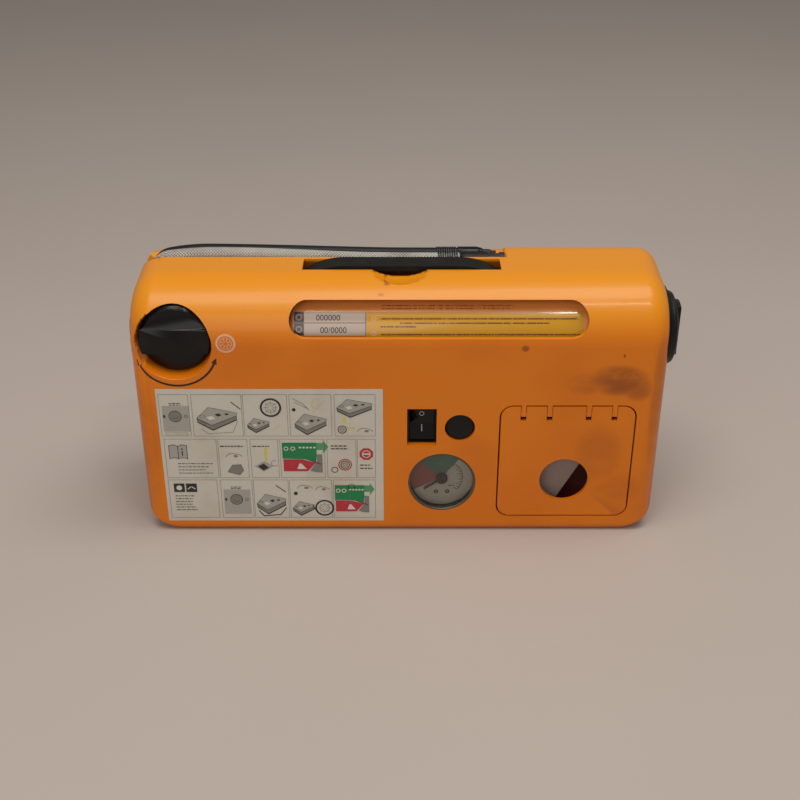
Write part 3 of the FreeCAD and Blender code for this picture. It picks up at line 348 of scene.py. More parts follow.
def smooth_line(name, route, y):
    """The points of a NURBS line through the route's plane, evenly fine."""
    curve = bpy.data.curves.new(name, "CURVE")
    curve.dimensions = "3D"
    curve.resolution_u = 24
    spline = curve.splines.new("NURBS")
    spline.points.add(len(route) - 1)
    spline.points.foreach_set("co", np.array([(x, y, z, 1) for x, z in route]).reshape(-1))
    spline.order_u = 3
    spline.use_endpoint_u = True
    line = bpy.data.objects.new(name, curve)
    bpy.context.collection.objects.link(line)
    mesh = bpy.data.meshes.new_from_object(line)
    points = np.empty(len(mesh.vertices) * 3)
    mesh.vertices.foreach_get("co", points)
    bpy.data.objects.remove(line)
    points = points.reshape(-1, 3)
    steps = np.concatenate([[0], np.cumsum(np.linalg.norm(np.diff(points, axis=0), axis=1))])
    even = np.linspace(0, steps[-1], int(steps[-1] / (1.2 * MM)))
    return np.stack([np.interp(even, steps, points[:, axis]) for axis in range(3)], -1), even


def hose(name, route, y, radius):
    """A tube along a route, with UV in metres: length along, and arc round."""
    path, length = smooth_line(name + "_line", route, y)
    sides = 28
    points = tube_points(path, radius, sides, np.array([0.0, 1.0, 0.0]))
    closed = np.concatenate([points, points[:, :1]], axis=1)
    arc = np.linspace(0, 2 * math.pi * radius, sides + 1)
    uv = np.stack(np.meshgrid(length, arc, indexing="ij"), -1)
    piece = sheet_of(name, closed, uv=uv)
    return piece, path, length[-1]


white_hose, white_path, white_length = hose("white_braided_hose", WHITE_ROUTE, WHITE_Y, 4 * MM)
black_hose, black_path, black_length = hose("black_rubber_hose", BLACK_ROUTE, BLACK_Y, 3.5 * MM)
print("hose lengths:", round(white_length, 3), round(black_length, 3))

# %% [markdown]
# ## A braid
# A braid is two sets of strands that wind opposite ways. On the unrolled tube they are two families
# of slanting lines, and where they cross, one and then the other is on top, like a chess board.

# %% Braid and rubber
def unrolled(finish):
    """The piece's UV as two numbers: metres along and metres round."""
    coordinates = finish.node("ShaderNodeUVMap", {"uv_map": "UVMap"}).outputs["UV"]
    split = finish.node("ShaderNodeSeparateXYZ", {}, {"Vector": coordinates})
    return Value(finish, split.outputs[0]), Value(finish, split.outputs[1])


def braid_finish():
    finish = Finish("grey_braid", Roughness=0.5, Sheen_Weight=0.25, Sheen_Roughness=0.4)
    along, round_ = unrolled(finish)
    strands = 2 * math.pi / (math.pi * 8 * MM) * 7
    left = (along * strands + round_ * strands).sine()
    right = (along * strands - round_ * strands).sine()
    board = (left * right).rises(-0.15, 0.15)
    strand = left.size() * board + right.size() * (1 - board)
    darkening = finish.noise(60, 4)
    pale = finish.blend(darkening.rises(0.35, 0.75), tone(214, 210, 202), tone(172, 166, 157))
    finish.colour(finish.blend(strand.rises(0.1, 0.7), tone(48, 45, 42), pale))
    finish.rough(0.62 - strand * 0.22)
    return finish.relief(strand, 0.5 * MM)


def rubber_finish(name, shade, roughness=0.45):
    """Dark rubber: slightly paler where it is dusty or rubbed."""
    finish = Finish(name, Specular_IOR_Level=0.25)
    dust = finish.noise(90, 5, 0.6)
    finish.colour(finish.blend(dust.rises(0.45, 0.85) * 0.5, shade, tone(48, 46, 44)))
    finish.rough(roughness + dust * 0.25)
    return finish.relief(finish.noise(1800, 2), 0.03 * MM)


braid = braid_finish()
hose_rubber = rubber_finish("hose_rubber", tone(22, 22, 24), 0.32)
dress(white_hose, braid, replaces=["white_hose"])
dress(black_hose, hose_rubber, replaces=["black_hose"])
print("faces of the hoses:", len(white_hose.data.polygons), len(black_hose.data.polygons))

# %% [markdown]
# ## The bend-relief springs
# Where a hose enters its fitting, a short coil spring keeps it from kinking. The wire is a thin
# tube carried along a helix, which touches its neighbours at every turn.

# %% Springs
def metal_finish(name, colour, roughness, stain=0.3):
    """Bare or plated metal with fine brushing and dull patches."""
    finish = Finish(name, Metallic=1.0)
    patches = finish.noise(120, 4)
    lines = finish.noise(900, 3, stretch=(1, 1, 0.08))
    finish.colour(finish.blend(patches.rises(0.4, 0.8) * stain, colour, tone(90, 84, 76)))
    finish.rough(roughness + patches * 0.2 + lines * 0.08)
    return finish.relief(lines, 0.02 * MM)


def spring(name, node, wire, turns):
    """A helix round X: y = r cos a, z = r sin a, x grows evenly with a; a tube of wire round it."""
    start, end = reach(node, "X")
    _, y, z = middle(node)
    outer = (reach(node, "Z")[1] - reach(node, "Z")[0]) / 2
    angle = np.linspace(0, 2 * math.pi * turns, int(turns * 40))
    radius = outer - wire
    path = np.stack([np.linspace(start + wire, end - wire, len(angle)), y + radius * np.cos(angle),
                     z + radius * np.sin(angle)], -1)
    points = tube_points(path, wire, 10, np.array([1.0, 0.0, 0.0]))
    return sheet_of(name, points, wrap_v=True)


dark_wire = metal_finish("dark_spring_wire", tone(70, 70, 72), 0.32)
white_spring = dress(spring("white_hose_coil", "white_hose_spring", 0.55 * MM, 9), dark_wire,
                     replaces=["white_hose_spring"])
black_spring = dress(spring("black_hose_coil", "black_hose_spring", 0.6 * MM, 9), dark_wire,
                     replaces=["black_hose_spring"])
print("spring faces:", len(white_spring.data.polygons) + len(black_spring.data.polygons))

# %% [markdown]
# ## Joining the loose triangles
# Each hard part arrives as loose triangles, which shade as facets. A copy is merged point by point,
# its sharp corners are marked by angle, and the larger faces are left to rule the shading.

# %% Smooth copies
def smooth_copy(node, finish, angle=32):
    """A merged, smooth-shaded copy of a part that stands for it."""
    mesh = nodes[node].data.copy()
    mesh.name = node + "_skin"
    work = bmesh.new()
    work.from_mesh(mesh)
    bmesh.ops.remove_doubles(work, verts=work.verts, dist=1e-6)
    work.to_mesh(mesh)
    work.free()
    mesh.shade_smooth()
    mesh.set_sharp_from_angle(angle=math.radians(angle))
    piece = bpy.data.objects.new(node + "_skin", mesh)
    bpy.context.collection.objects.link(piece)
    weights = piece.modifiers.new("even_shading", "WEIGHTED_NORMAL")
    weights.keep_sharp = True
    return dress(piece, finish, body_of_node[node], [node])


print("bodies to ride on:", len(set(body_of_node.values())))

# %% [markdown]
# ## Orange plastic that has been used
# The case is moulded in orange plastic with a faint spark-eroded grain. It has handling scuffs that
# change the gloss, brown smudges on the right where hands and oil have been, and a few dark specks.
# Its crown is painted paler as painted light, and the strap's recess deep red as painted shade.

# %% Orange plastic
SMUDGES = [  # x, z, half width, half height in millimetres, strength
    (124.5, 103, 19, 11, 0.85), (136, 98, 10, 9, 0.6), (106, 101, 13, 8, 0.5), (116, 54, 16, 24, 0.3),
    (148, 90, 5, 50, 0.35), (70.3, 123.6, 2.6, 2.4, 0.95), (126.3, 119, 0.8, 1.4, 1.0),
    (-7.4, 154.2, 2.2, 0.5, 0.8), (-10.6, 150.6, 2.4, 0.8, 0.6),
    (128, 30, 18, 12, 0.2), (44, 50, 18, 20, 0.1), (-147, 60, 8, 46, 0.25),
]


def smudge_mask(finish):
    """Soft spots at the smudges' places, torn into streaks by noise."""
    ragged = finish.noise(45, 4, 0.6, stretch=(0.6, 1, 1)).rises(0.22, 0.6)
    total = None
    for x, z, wide, high, strength in SMUDGES:
        dx = (finish.x - x * MM) / (wide * MM)
        dz = (finish.z - z * MM) / (high * MM)
        spot = (1 - (dx * dx + dz * dz).rises(0.15, 1.1)) * strength
        total = spot if total is None else total.most(spot)
    return total * ragged * (1 - finish.y.rises(FRONT + 0.03, FRONT + 0.045))


def painted_recess_shade(finish):
    """1 inside the strap's recess, where painted shade colours the orange a deep red."""
    along = finish.x.between(-0.0565, 0.0585, 0.0005)
    deep = finish.y.between(FRONT + 0.0335, FRONT + 0.0505, 0.0008)
    return along * deep * (1 - finish.z.rises(TOP - 0.0022, TOP - 0.0006))


def orange_finish():
    finish = Finish("orange_case_plastic", Specular_IOR_Level=0.35, Coat_Weight=0.2, Coat_Roughness=0.14)
    smudges = smudge_mask(finish)
    clouds = finish.noise(18, 3)
    specks = (1 - finish.cells(130).rises(0.02, 0.05)) * finish.noise(9, 2).rises(0.5, 0.62)
    # painted light: from 124 mm up, over the crown, the orange is coloured paler and yellower
    painted_top_light = finish.z.rises(0.124, 0.15)
    case_orange = finish.blend(clouds.rises(0.3, 0.75), tone(229, 125, 4), tone(220, 116, 3))
    base = finish.blend(painted_top_light, case_orange, tone(230, 145, 12))
    worn = finish.blend((specks * 0.6).least(1.0), base, tone(120, 66, 22))
    grimy = finish.blend(smudges, worn, tone(140, 70, 20))
    # painted shade: inside the strap's recess the orange is coloured a deep red
    finish.colour(finish.blend(painted_recess_shade(finish) * 0.9, grimy, tone(104, 24, 6)))
    scuffs = finish.noise(140, 5, 0.7, stretch=(0.25, 1, 1)).rises(0.52, 0.78)
    finish.rough(0.36 + scuffs * 0.14 + smudges * 0.2 + clouds * 0.05)
    return finish.relief(finish.noise(2600, 2), 0.03 * MM)


def corner_field(rows, name, width, kind=float):
    """One value or vector of a mesh's elements as an array."""
    values = np.empty(len(rows) * width, kind)
    rows.foreach_get(name, values)
    return values.reshape(-1, width) if width > 1 else values


CROWN_RADIUS = 33 * MM
ON_CROWN = 0.05 * MM  # how near the cylinder a corner must lie
SAME_WAY = 0.97  # least cosine between a face and the crown's direction


def exact_shading(piece, radius):
    """Corner normals from the shape itself: a face square to an axis keeps its own direction, and a
    corner on the crown, a cylinder along X, points along (y - yc, z - zc) / radius."""
    seen = piece.evaluated_get(bpy.context.evaluated_depsgraph_get())
    mesh = bpy.data.meshes.new_from_object(seen)
    normals = corner_field(mesh.corner_normals, "vector", 3)
    points = corner_field(mesh.vertices, "co", 3)[corner_field(mesh.loops, "vertex_index", 1, int)]
    faces = np.repeat(corner_field(mesh.polygons, "normal", 3), 3, axis=0)
    flat = np.abs(faces).max(axis=1) > 0.99999
    normals[flat] = faces[flat]
    out = points[:, 1:] - np.array([FRONT + radius, TOP - radius])
    distance = np.linalg.norm(out, axis=1)
    bent = np.concatenate([np.zeros((len(out), 1)), out / distance[:, None]], axis=1)
    crown = (np.abs(distance - radius) < ON_CROWN) & (out[:, 0] < 1e-5) & (out[:, 1] > -1e-5)
    crown &= (faces * bent).sum(axis=1) > SAME_WAY
    normals[crown] = bent[crown]
    mesh.normals_split_custom_set(normals.tolist())
    piece.modifiers.clear()
    piece.data = mesh
    print("corners set: flat", int(flat.sum()), "crown", int(crown.sum()))


orange = orange_finish()
front_case = smooth_copy("front_shell", orange)
exact_shading(front_case, CROWN_RADIUS)
rear_case = smooth_copy("rear_shell", orange)
smooth_copy("compartment_lid", orange)
print("case faces:", len(front_case.data.polygons) + len(rear_case.data.polygons))

# %% [markdown]
# ## Black and grey mouldings
# The knob, the button and the rocker are the same black plastic from smoother or rougher moulds, so
# one function makes them all: a shade, a gloss and how deep the mould's grain is.

# %% Mouldings
def moulded(name, shade, roughness, grain=0.03, dust=0.3):
    """Moulded plastic: grain from the mould, pale dust in patches, duller where rubbed."""
    finish = Finish(name, Specular_IOR_Level=0.3)
    patches = finish.noise(70, 5, 0.6).rises(0.5, 0.85)
    finish.colour(finish.blend(patches * dust, shade, tone(118, 112, 104)))
    finish.rough(roughness + patches * 0.18)
    return finish.relief(finish.noise(2200, 2), grain * MM)


black_matte = moulded("black_moulding", tone(12, 12, 12), 0.5, dust=0.06)
black_gloss = moulded("black_gloss_moulding", tone(9, 9, 9), 0.24, 0.012, 0.05)
grey_moulding = moulded("grey_moulding", tone(92, 94, 98), 0.45)
inner_black = moulded("inner_black_moulding", tone(34, 34, 36), 0.6)
strap_rubber = rubber_finish("strap_rubber", tone(19, 19, 18), 0.6)
cap_black = moulded("cap_moulding", tone(17, 18, 18), 0.42, 0.03, 0.08)
dark_fitting = moulded("dark_fitting", tone(46, 44, 48), 0.45)
steel = metal_finish("bare_steel", tone(165, 166, 170), 0.28)
zinc = metal_finish("zinc_plate", tone(190, 188, 178), 0.34)
brass = metal_finish("brass", tone(190, 158, 92), 0.3)
cast_aluminium = metal_finish("cast_aluminium", tone(176, 177, 180), 0.45)
nylon = moulded("natural_nylon", tone(222, 218, 204), 0.4, 0.02, 0.15)
grey_card = moulded("grey_card", tone(150, 134, 126), 0.75, 0.05, 0.2)
# painted shade: the tub is orange plastic, coloured deep red for the dark inside of the compartment
tub_painted_shade = moulded("painted_shade_orange_moulding", tone(120, 34, 14), 0.5, 0.03, 0.15)
dull_bezel = metal_finish("dull_bezel", tone(112, 108, 100), 0.36)

PLAIN_PARTS = {
    "carry_handle": strap_rubber, "selector_knob": black_gloss, "selector_spindle": black_matte,
    "selector_valve_body": inner_black, "cartridge_neck": grey_moulding, "cartridge_cap": cap_black,
    "cap_seal_ring": hose_rubber, "cartridge_socket": grey_moulding, "switch_body": black_matte,
    "switch_rocker": black_gloss, "switch_terminals": brass, "deflation_button": black_matte,
    "deflation_valve_body": inner_black, "gauge_body": inner_black, "gauge_bezel": dull_bezel,
    "gauge_stem": brass, "gauge_needle": black_gloss, "storage_tub": tub_painted_shade,
    "lid_hinge_pins": steel, "stored_leaflet": grey_card,
    "motor_can": steel, "motor_end_cap": inner_black, "motor_shaft": steel, "motor_pinion": brass,
    "crank_gear": nylon, "gear_arbor": steel, "gearbox_frame": cast_aluminium, "crank_pin": steel,
    "connecting_rod": inner_black, "piston": cast_aluminium, "piston_seal": hose_rubber,
    "cylinder_barrel": cast_aluminium, "cylinder_head": cast_aluminium, "head_screws": zinc,
    "case_screws": zinc,
    "white_connector": black_matte, "white_connector_cap": dark_fitting, "black_connector": black_gloss,
    "black_nozzle": dark_fitting, "hose_outlets": black_matte, "delivery_tube": hose_rubber,
    "gauge_tube": hose_rubber, "lead_gland": black_matte,
}
skins = {node: smooth_copy(node, finish) for node, finish in PLAIN_PARTS.items()}
print("plain parts dressed:", len(skins))

# %% [markdown]
# ## Clear plastic and sealant
# The cartridge is a clear bottle full of reddish brown latex. Its plastic is drawn opaque and coloured
# paler as painted light; only the thin gauge lens is clear, letting the light through with almost no
# colour.

# %% Bottle, sealant and lens
def clear(name, colour, roughness):
    """Clear plastic with faint handling marks."""
    finish = Finish(name, Base_Color=colour, Transmission_Weight=1.0, IOR=1.45)
    finish.rough(roughness + finish.noise(160, 4).rises(0.55, 0.85) * 0.12)
    return finish


def sealant_finish():
    finish = Finish("latex_sealant", Roughness=0.35)
    clouds = finish.noise(30, 3, stretch=(0.3, 1, 1))
    finish.colour(finish.blend(clouds.rises(0.3, 0.7), tone(138, 62, 28), tone(104, 42, 22)))
    return finish.relief(clouds, 0.1 * MM)


def bottle_finish():
    """Milky plastic over brown latex, coloured paler as painted light, with two rows of fine print above
    the label.
    """
    finish = Finish("bottle_plastic", Specular_IOR_Level=0.5, Coat_Weight=0.6, Coat_Roughness=0.06)
    clouds = finish.noise(26, 3, stretch=(0.35, 1, 1))
    # painted light: the bottle is coloured paler than its plastic, to lift the case wall's shadow in the
    # window
    bottle_tone_painted_light = finish.blend(clouds.rises(0.3, 0.7), tone(248, 168, 86), tone(226, 146, 74))
    letters = finish.noise(1.0, 1, vector=finish.node("ShaderNodeCombineXYZ", {}, {
        0: finish.x * 900,
        1: finish.maths("FLOOR", finish.z / (1.6 * MM)) * 5.3}).outputs[0]).rises(0.42, 0.5)
    rows = finish.z.between(0.1409, 0.1414, 0.00015).most(finish.z.between(0.1421, 0.1426, 0.00015))
    fine = letters * rows * finish.x.between(-0.0105, 0.064, 0.0004)
    finish.colour(finish.blend(fine * 0.8, bottle_tone_painted_light, tone(150, 60, 30)))
    finish.rough(0.28 + clouds * 0.1)
    return finish


smooth_copy("sealant_bottle", bottle_finish())
smooth_copy("sealant_fill", sealant_finish())
smooth_copy("gauge_lens", clear("gauge_lens_plastic", (0.96, 0.98, 0.98, 1), 0.03))
print("bottle radius:", round(bottle_radius, 5))

# %% [markdown]
# ## The cartridge's label
# A printed sleeve wraps the bottle: black squares with signs, two white fields with stamped numbers
# and a long yellow field of small print. The sleeve is a grid whose UV holds millimetres, so the
# print is a set of rectangles in the finish. Small print is only rows of short dashes.

# %% Label
LABEL_RADIUS = bottle_radius + 0.24 * MM
LABEL_TOP = math.asin((reach("bottle_label", "Z")[1] - bottle_z) / LABEL_RADIUS)
label_start, label_end = reach("bottle_label", "X")


def label_sleeve():
    """x along the bottle; a is the angle up from the front: y = -r cos a, z = r sin a."""
    x = np.linspace(label_start, label_end, 60)
    a = np.linspace(LABEL_TOP, LABEL_TOP - math.radians(250), 120)
    xx, aa = np.meshgrid(x, a, indexing="ij")
    points = np.stack([xx, bottle_y - LABEL_RADIUS * np.cos(aa), bottle_z + LABEL_RADIUS * np.sin(aa)], -1)
    uv = np.stack([xx, LABEL_RADIUS * aa], -1)
    return sheet_of("cartridge_label", points, uv=uv)


LABEL_ROWS = [  # arc below the label's top edge, start and end along x, in millimetres
    (4.0, -11, 100), (6.5, 0, 84), (8.5, -11, 9), (12.9, -11, 102), (15.1, -11, 66),
]


def fine_rows(finish, along, up, top):
    """Rows of short dashes that read as small print from afar."""
    words = finish.noise(1.0, 1, vector=finish.node("ShaderNodeCombineXYZ", {}, {
        0: along * 1100, 1: finish.maths("FLOOR", up / (2.1 * MM)) * 7.3}).outputs[0]).rises(0.36, 0.44)
    rows = None
    for drop, start, end in LABEL_ROWS:
        row = up.between(top - (drop + 0.45) * MM, top - (drop - 0.45) * MM, 0.12 * MM)
        row = row * along.between(start * MM, end * MM, 0.3 * MM)
        rows = row if rows is None else rows.most(row)
    return rows * words


def ring(along, up, x, drop, radius, width):
    """1 on a ring round a point of the label: where the distance to it is near the radius."""
    dx, dy = along - x, up - drop
    distance = (dx * dx + dy * dy) ** 0.5
    return distance.between(radius - width / 2, radius + width / 2, width / 4)


def label_finish():
    finish = Finish("label_print", Roughness=0.22, Coat_Weight=0.5, Coat_Roughness=0.07)
    along, up = unrolled(finish)
    top = LABEL_RADIUS * LABEL_TOP
    first = label_start + 0.3 * MM
    fields_end = -19 * MM
    yellow = along.rises(fields_end, fields_end + 0.4 * MM)
    below = 1 - up.rises(top - 13.6 * MM, top - 13.3 * MM)
    border = along.between(fields_end - 0.5 * MM, fields_end, 0.1 * MM)
    squares = along.between(first, first + 5.6 * MM, 0.15 * MM)
    gap_line = up.between(top - 6.6 * MM, top - 6.1 * MM, 0.1 * MM)
    fields = finish.blend(below, tone(184, 168, 152), tone(196, 118, 40))
    paper = finish.blend(yellow, fields, tone(206, 152, 22))
    inked = finish.blend(fine_rows(finish, along, up, top) * 0.9, paper, tone(100, 62, 20))
    inked = finish.blend(border.most(gap_line * (1 - yellow)) * (1 - below), inked, tone(112, 84, 92))
    inked = finish.blend(squares * (1 - gap_line) * (1 - below), inked, tone(66, 52, 50))
    signs = ring(along, up, first + 2.8 * MM, top - 3.1 * MM, 1.5 * MM, 0.8 * MM).most(
        ring(along, up, first + 2.8 * MM, top - 9.9 * MM, 1.5 * MM, 0.8 * MM))
    inked = finish.blend(signs * 0.7, inked, tone(170, 150, 136))
    marks = ring(along, up, -14.6 * MM, top - 4.1 * MM, 1.1 * MM, 0.6 * MM).most(
        ring(along, up, -14.6 * MM, top - 12.4 * MM, 1.1 * MM, 0.6 * MM))
    finish.colour(finish.blend(marks, inked, tone(210, 170, 140)))
    return finish


dress(label_sleeve(), label_finish(), "cartridge", ["bottle_label"])
print("label length:", round(label_end - label_start, 4), "rows of print:", len(LABEL_ROWS))

# %% [markdown]
# ## Flat print
# The panel sheet's pictures, the arrow by the knob and the dial's scale are ink: flat polygons a
# few hundredths of a millimetre above what they are printed on. `Ink` gathers polygons of one
# colour in the plane of the front panel, with x to the right and z up.

# %% A small drawing kit
class Ink:
    """Flat polygons of one colour in a plane that faces the front."""

    def __init__(self, name, colour, y, roughness=0.5):
        self.name = name
        self.colour = colour
        self.roughness = roughness
        self.y = y
        self.points = []
        self.faces = []

    def shape(self, outline):
        """A filled outline of (x, z) points in millimetres."""
        start = len(self.points)
        outline = np.asarray(outline, float)
        ahead = np.roll(outline, -1, axis=0)
        if np.sum(outline[:, 0] * ahead[:, 1] - ahead[:, 0] * outline[:, 1]) < 0:
            outline = outline[::-1]
        self.points += [(x * MM, self.y, z * MM) for x, z in outline]
        self.faces.append(list(range(start, start + len(outline))))

    def line(self, points, width, closed=False):
        """A line of even width: one rectangle for each stretch, a little overlong at its ends."""
        points = np.asarray(points, float)
        ends = np.roll(points, -1, axis=0) if closed else points[1:]
        for a, b in zip(points, ends):
            along = (b - a) / max(np.linalg.norm(b - a), 1e-9)
            side = np.array([-along[1], along[0]]) * width / 2
            a, b = a - along * width * 0.4, b + along * width * 0.4
            self.shape([a + side, b + side, b - side, a - side])

    def disc(self, x, z, radius, flat=1.0, sides=40):
        angle = np.linspace(0, 2 * math.pi, sides, endpoint=False)
        self.shape(np.stack([x + radius * np.cos(angle), z + radius * flat * np.sin(angle)], -1))

    def arc(self, x, z, radius, width, start=0, end=360, flat=1.0, sides=48):
        """A ring, or a part of one between two angles in degrees."""
        angle = np.radians(np.linspace(start, end, sides + 1))
        outer, inner = (np.stack([x + edge * np.cos(angle), z + edge * flat * np.sin(angle)], -1)
                        for edge in (radius + width / 2, radius - width / 2))
        for i in range(sides):
            self.shape([outer[i], outer[i + 1], inner[i + 1], inner[i]])

    def box(self, x0, z0, x1, z1, width):
        self.line([(x0, z0), (x1, z0), (x1, z1), (x0, z1)], width, closed=True)

    def fill(self, x0, z0, x1, z1):
        self.shape([(x0, z0), (x1, z0), (x1, z1), (x0, z1)])

    def small_print(self, x0, z0, x1, rows, pitch, height=0.45, seed=1):
        """Rows of dashes that stand for writing without being any."""
        chance = np.random.default_rng(seed)
        for row in range(rows):
            x = x0
            end = x1 - chance.uniform(0, 0.25) * (x1 - x0)
            while x < end:
                word = chance.uniform(0.8, 2.6)
                self.fill(x, z0 - row * pitch, min(x + word, end), z0 - row * pitch + height)
                x += word + 0.5

    def print_on(self, body, slot):
        mesh = bpy.data.meshes.new(self.name)
        mesh.from_pydata(self.points, [], self.faces)
        piece = bpy.data.objects.new(self.name, mesh)
        bpy.context.collection.objects.link(piece)
        finish = Finish(self.name + "_ink", Specular_IOR_Level=0.4)
        fade = finish.noise(220, 4).rises(0.55, 0.9) * 0.2
        finish.colour(finish.blend(fade, self.colour, tone(170, 168, 160)))
        finish.rough(self.roughness + fade)
        return dress(piece, finish, body)


# %% [markdown]
# ## The panel sheet
# Each picture is drawn by a short function, so that the small case that comes back five times is
# written once.

# %% Panel sheet paper
def paper_finish():
    finish = Finish("laminated_paper", Specular_IOR_Level=0.5, Coat_Weight=0.25, Coat_Roughness=0.25)
    stains = finish.noise(40, 4).rises(0.45, 0.8)
    # the sheet is darker in stains and towards its bottom edge, from 20 mm down to 7.5 mm
    edge = finish.z.rises(0.02, 0.0075) * 0.5
    darkening = (stains * 0.35 + edge * 0.3).least(1.0)
    finish.colour(finish.blend(darkening, tone(206, 202, 190), tone(172, 160, 138)))
    finish.rough(0.42 + stains * 0.12)
    return finish.relief(finish.noise(500, 3), 0.03 * MM)


smooth_copy("instruction_sticker", paper_finish())
PANEL_Y = reach("instruction_sticker", "Y")[0]
STEP = 0.05 * MM
panel_inks = {
    "grey": Ink("panel_grey", tone(168, 164, 156), PANEL_Y - STEP),
    "shade": Ink("panel_shade", tone(128, 126, 120), PANEL_Y - 2 * STEP),
    "green": Ink("panel_green", tone(30, 128, 76), PANEL_Y - 2 * STEP),
    "leaf": Ink("panel_pale_green", tone(88, 150, 104), PANEL_Y - STEP),
    "red": Ink("panel_red", tone(186, 48, 60), PANEL_Y - 2 * STEP),
    "yellow": Ink("panel_yellow", tone(214, 200, 60), PANEL_Y - 2 * STEP),
    "black": Ink("panel_black", tone(44, 42, 42), PANEL_Y - 3 * STEP),
    "white": Ink("panel_white", tone(214, 212, 202), PANEL_Y - 4 * STEP),
}
grey, shade, green, leaf, red, yellow, black, white = panel_inks.values()
print("inks on the panel:", len(panel_inks))

# %% [markdown]
# ## Pictures on the panel
# Each picture is a few outlines given between 0 and 1 and stretched into its rectangle, so one small
# function serves at several sizes. The frames come first, then the three rows from the top down.

# %% Pictures on the panel
def stretched(outline, x, z, wide, high):
    """Points given between 0 and 1, set in a rectangle."""
    return [(x + u * wide, z + v * high) for u, v in outline]


def case_picture(x, z, wide, high):
    lid = stretched([(0, 0.5), (0.3, 0.95), (1, 0.72), (0.98, 0.6), (0.36, 0.2), (0.02, 0.42)],
                    x, z, wide, high)
    side = stretched([(0, 0.5), (0.36, 0.2), (0.98, 0.6), (0.98, 0.44), (0.38, 0), (0.02, 0.34)],
                     x, z, wide, high)
    grey.shape(lid)
    shade.shape(side)
    black.line(side, 0.25, closed=True)
    black.line(lid, 0.16, closed=True)
    black.line(stretched([(0.02, 0.33), (0.38, 0), (0.98, 0.43)], x, z, wide, high), 0.55)
    black.shape(stretched([(0.45, 0.66), (0.55, 0.7), (0.62, 0.62), (0.52, 0.57)], x, z, wide, high))
    black.shape(stretched([(0.68, 0.68), (0.75, 0.71), (0.8, 0.66), (0.73, 0.62)], x, z, wide, high))
    white.shape(stretched([(0.24, 0.55), (0.38, 0.6), (0.46, 0.48), (0.32, 0.42)], x, z, wide, high))
    black.arc(x + 0.14 * wide, z + 0.58 * high, 0.06 * wide, 0.2, flat=0.6)


def knob_picture(x, z, wide, high):
    """A grey field with the selector knob and its two signs."""
    grey.fill(x, z, x + wide, z + high)
    centre = (x + wide * 0.47, z + high * 0.6)
    black.arc(*centre, 3.6, 0.35)
    black.arc(*centre, 1.5, 0.2, 200, 340)
    shade.disc(*centre, 3.3)
    black.arc(centre[0] + 6.2, centre[1], 0.85, 0.25)
    black.fill(centre[0] - 6.9, centre[1] - 0.9, centre[0] - 5.7, centre[1] + 0.9)
    black.small_print(x + wide * 0.28, z + high + 1.6, x + wide * 0.72, 2, 1.1, seed=3)


def wheel_picture(x, z, radius):
    """A tyre with its rim and spokes."""
    black.arc(x, z, radius, radius * 0.2)
    black.arc(x, z, radius * 0.55, 0.16)
    for spoke in range(8):
        turn = math.pi * spoke / 4
        black.line([(x + radius * 0.2 * math.cos(turn), z + radius * 0.2 * math.sin(turn)),
                    (x + radius * 0.72 * math.cos(turn), z + radius * 0.72 * math.sin(turn))], 0.16)


def gauge_picture(x, z, wide, high):
    """Green arrow over a red field: keep going when the needle is in the green."""
    green.shape(stretched([(0, 0.98), (0.86, 0.98), (0.86, 0.6), (0.84, 0.34), (0.55, 0.44), (0, 0.46)],
                          x, z, wide, high))
    leaf.shape(stretched([(0.7, 0.74), (1.02, 0.74), (1.02, 0.62), (1.16, 0.84), (1.02, 1.06), (1.02, 0.97),
                          (0.7, 0.97)], x, z, wide, high))
    red.shape(stretched([(0.02, 0.44), (0.5, 0.43), (0.84, 0.32), (0.62, 0.04), (0.02, 0.04)],
                        x, z, wide, high))
    shade.shape(stretched([(0.86, 0.6), (1.0, 0.6), (1.0, 0), (0.86, 0), (0.68, 0.06), (0.86, 0.34)],
                          x, z, wide, high))
    white.shape(stretched([(0.36, 0.12), (0.42, 0.3), (0.47, 0.3), (0.6, 0.12)], x, z, wide, high))
    black.line(stretched([(0.66, 0.42), (0.96, 0.28)], x, z, wide, high), 0.5)
    for letter in range(2):
        white.arc(x + (0.1 + 0.17 * letter) * wide, z + 0.79 * high, 1.15, 0.5)
    for dash in range(5):
        white.fill(x + (0.42 + 0.09 * dash) * wide, z + 0.8 * high,
                   x + (0.48 + 0.09 * dash) * wide, z + 0.85 * high)


def book_picture(x, z, wide, high):
    """An open book with a sign on its right page."""
    page = [(0.5, 0.1), (0.5, 0.9), (0.28, 1), (0.02, 0.94), (0.02, 0.1), (0.28, 0.16)]
    for flip in (False, True):
        outline = [(1 - u if flip else u, v) for u, v in page]
        grey.shape(stretched(outline, x, z, wide, high))
        black.line(stretched(outline, x, z, wide, high), 0.3, closed=True)
    black.disc(x + 0.72 * wide, z + 0.72 * high, 0.5)
    black.fill(x + 0.69 * wide, z + 0.3 * high, x + 0.75 * wide, z + 0.58 * high)


def car_picture(x, z, wide):
    """A car's outline with a wheel and a yellow mark above it."""
    black.line([(x, z), (x + 0.15 * wide, z + 1.5), (x + 0.4 * wide, z + 2.2), (x + 0.75 * wide, z + 1.7),
                (x + wide, z + 0.6), (x + wide, z)], 0.22)
    shade.disc(x + 0.62 * wide, z + 0.3, 1.3, 0.6)
    yellow.line([(x + 0.05 * wide, z + 2.4), (x + 0.35 * wide, z + 3.2)], 0.25)


ROWS = [(66.8, 94.4), (38.1, 64.7), (9.5, 36.5)]
COLUMNS = [
    [(-138.6, -121.6), (-119.8, -91.2), (-90.3, -65), (-63.6, -39.6), (-37.8, -14.3)],
    [(-137.9, -107.5), (-106.5, -89.5), (-87.7, -71.6), (-70.3, -44.3), (-42.8, -25.9), (-25, -14.5)],
    [(-138, -109), (-107, -88.3), (-87.4, -66.7), (-65.8, -40.8), (-39.8, -14.7)],
]
for (low, high), columns in zip(ROWS, COLUMNS):
    for left, right in columns:
        black.box(left, low, right, high, 0.14)

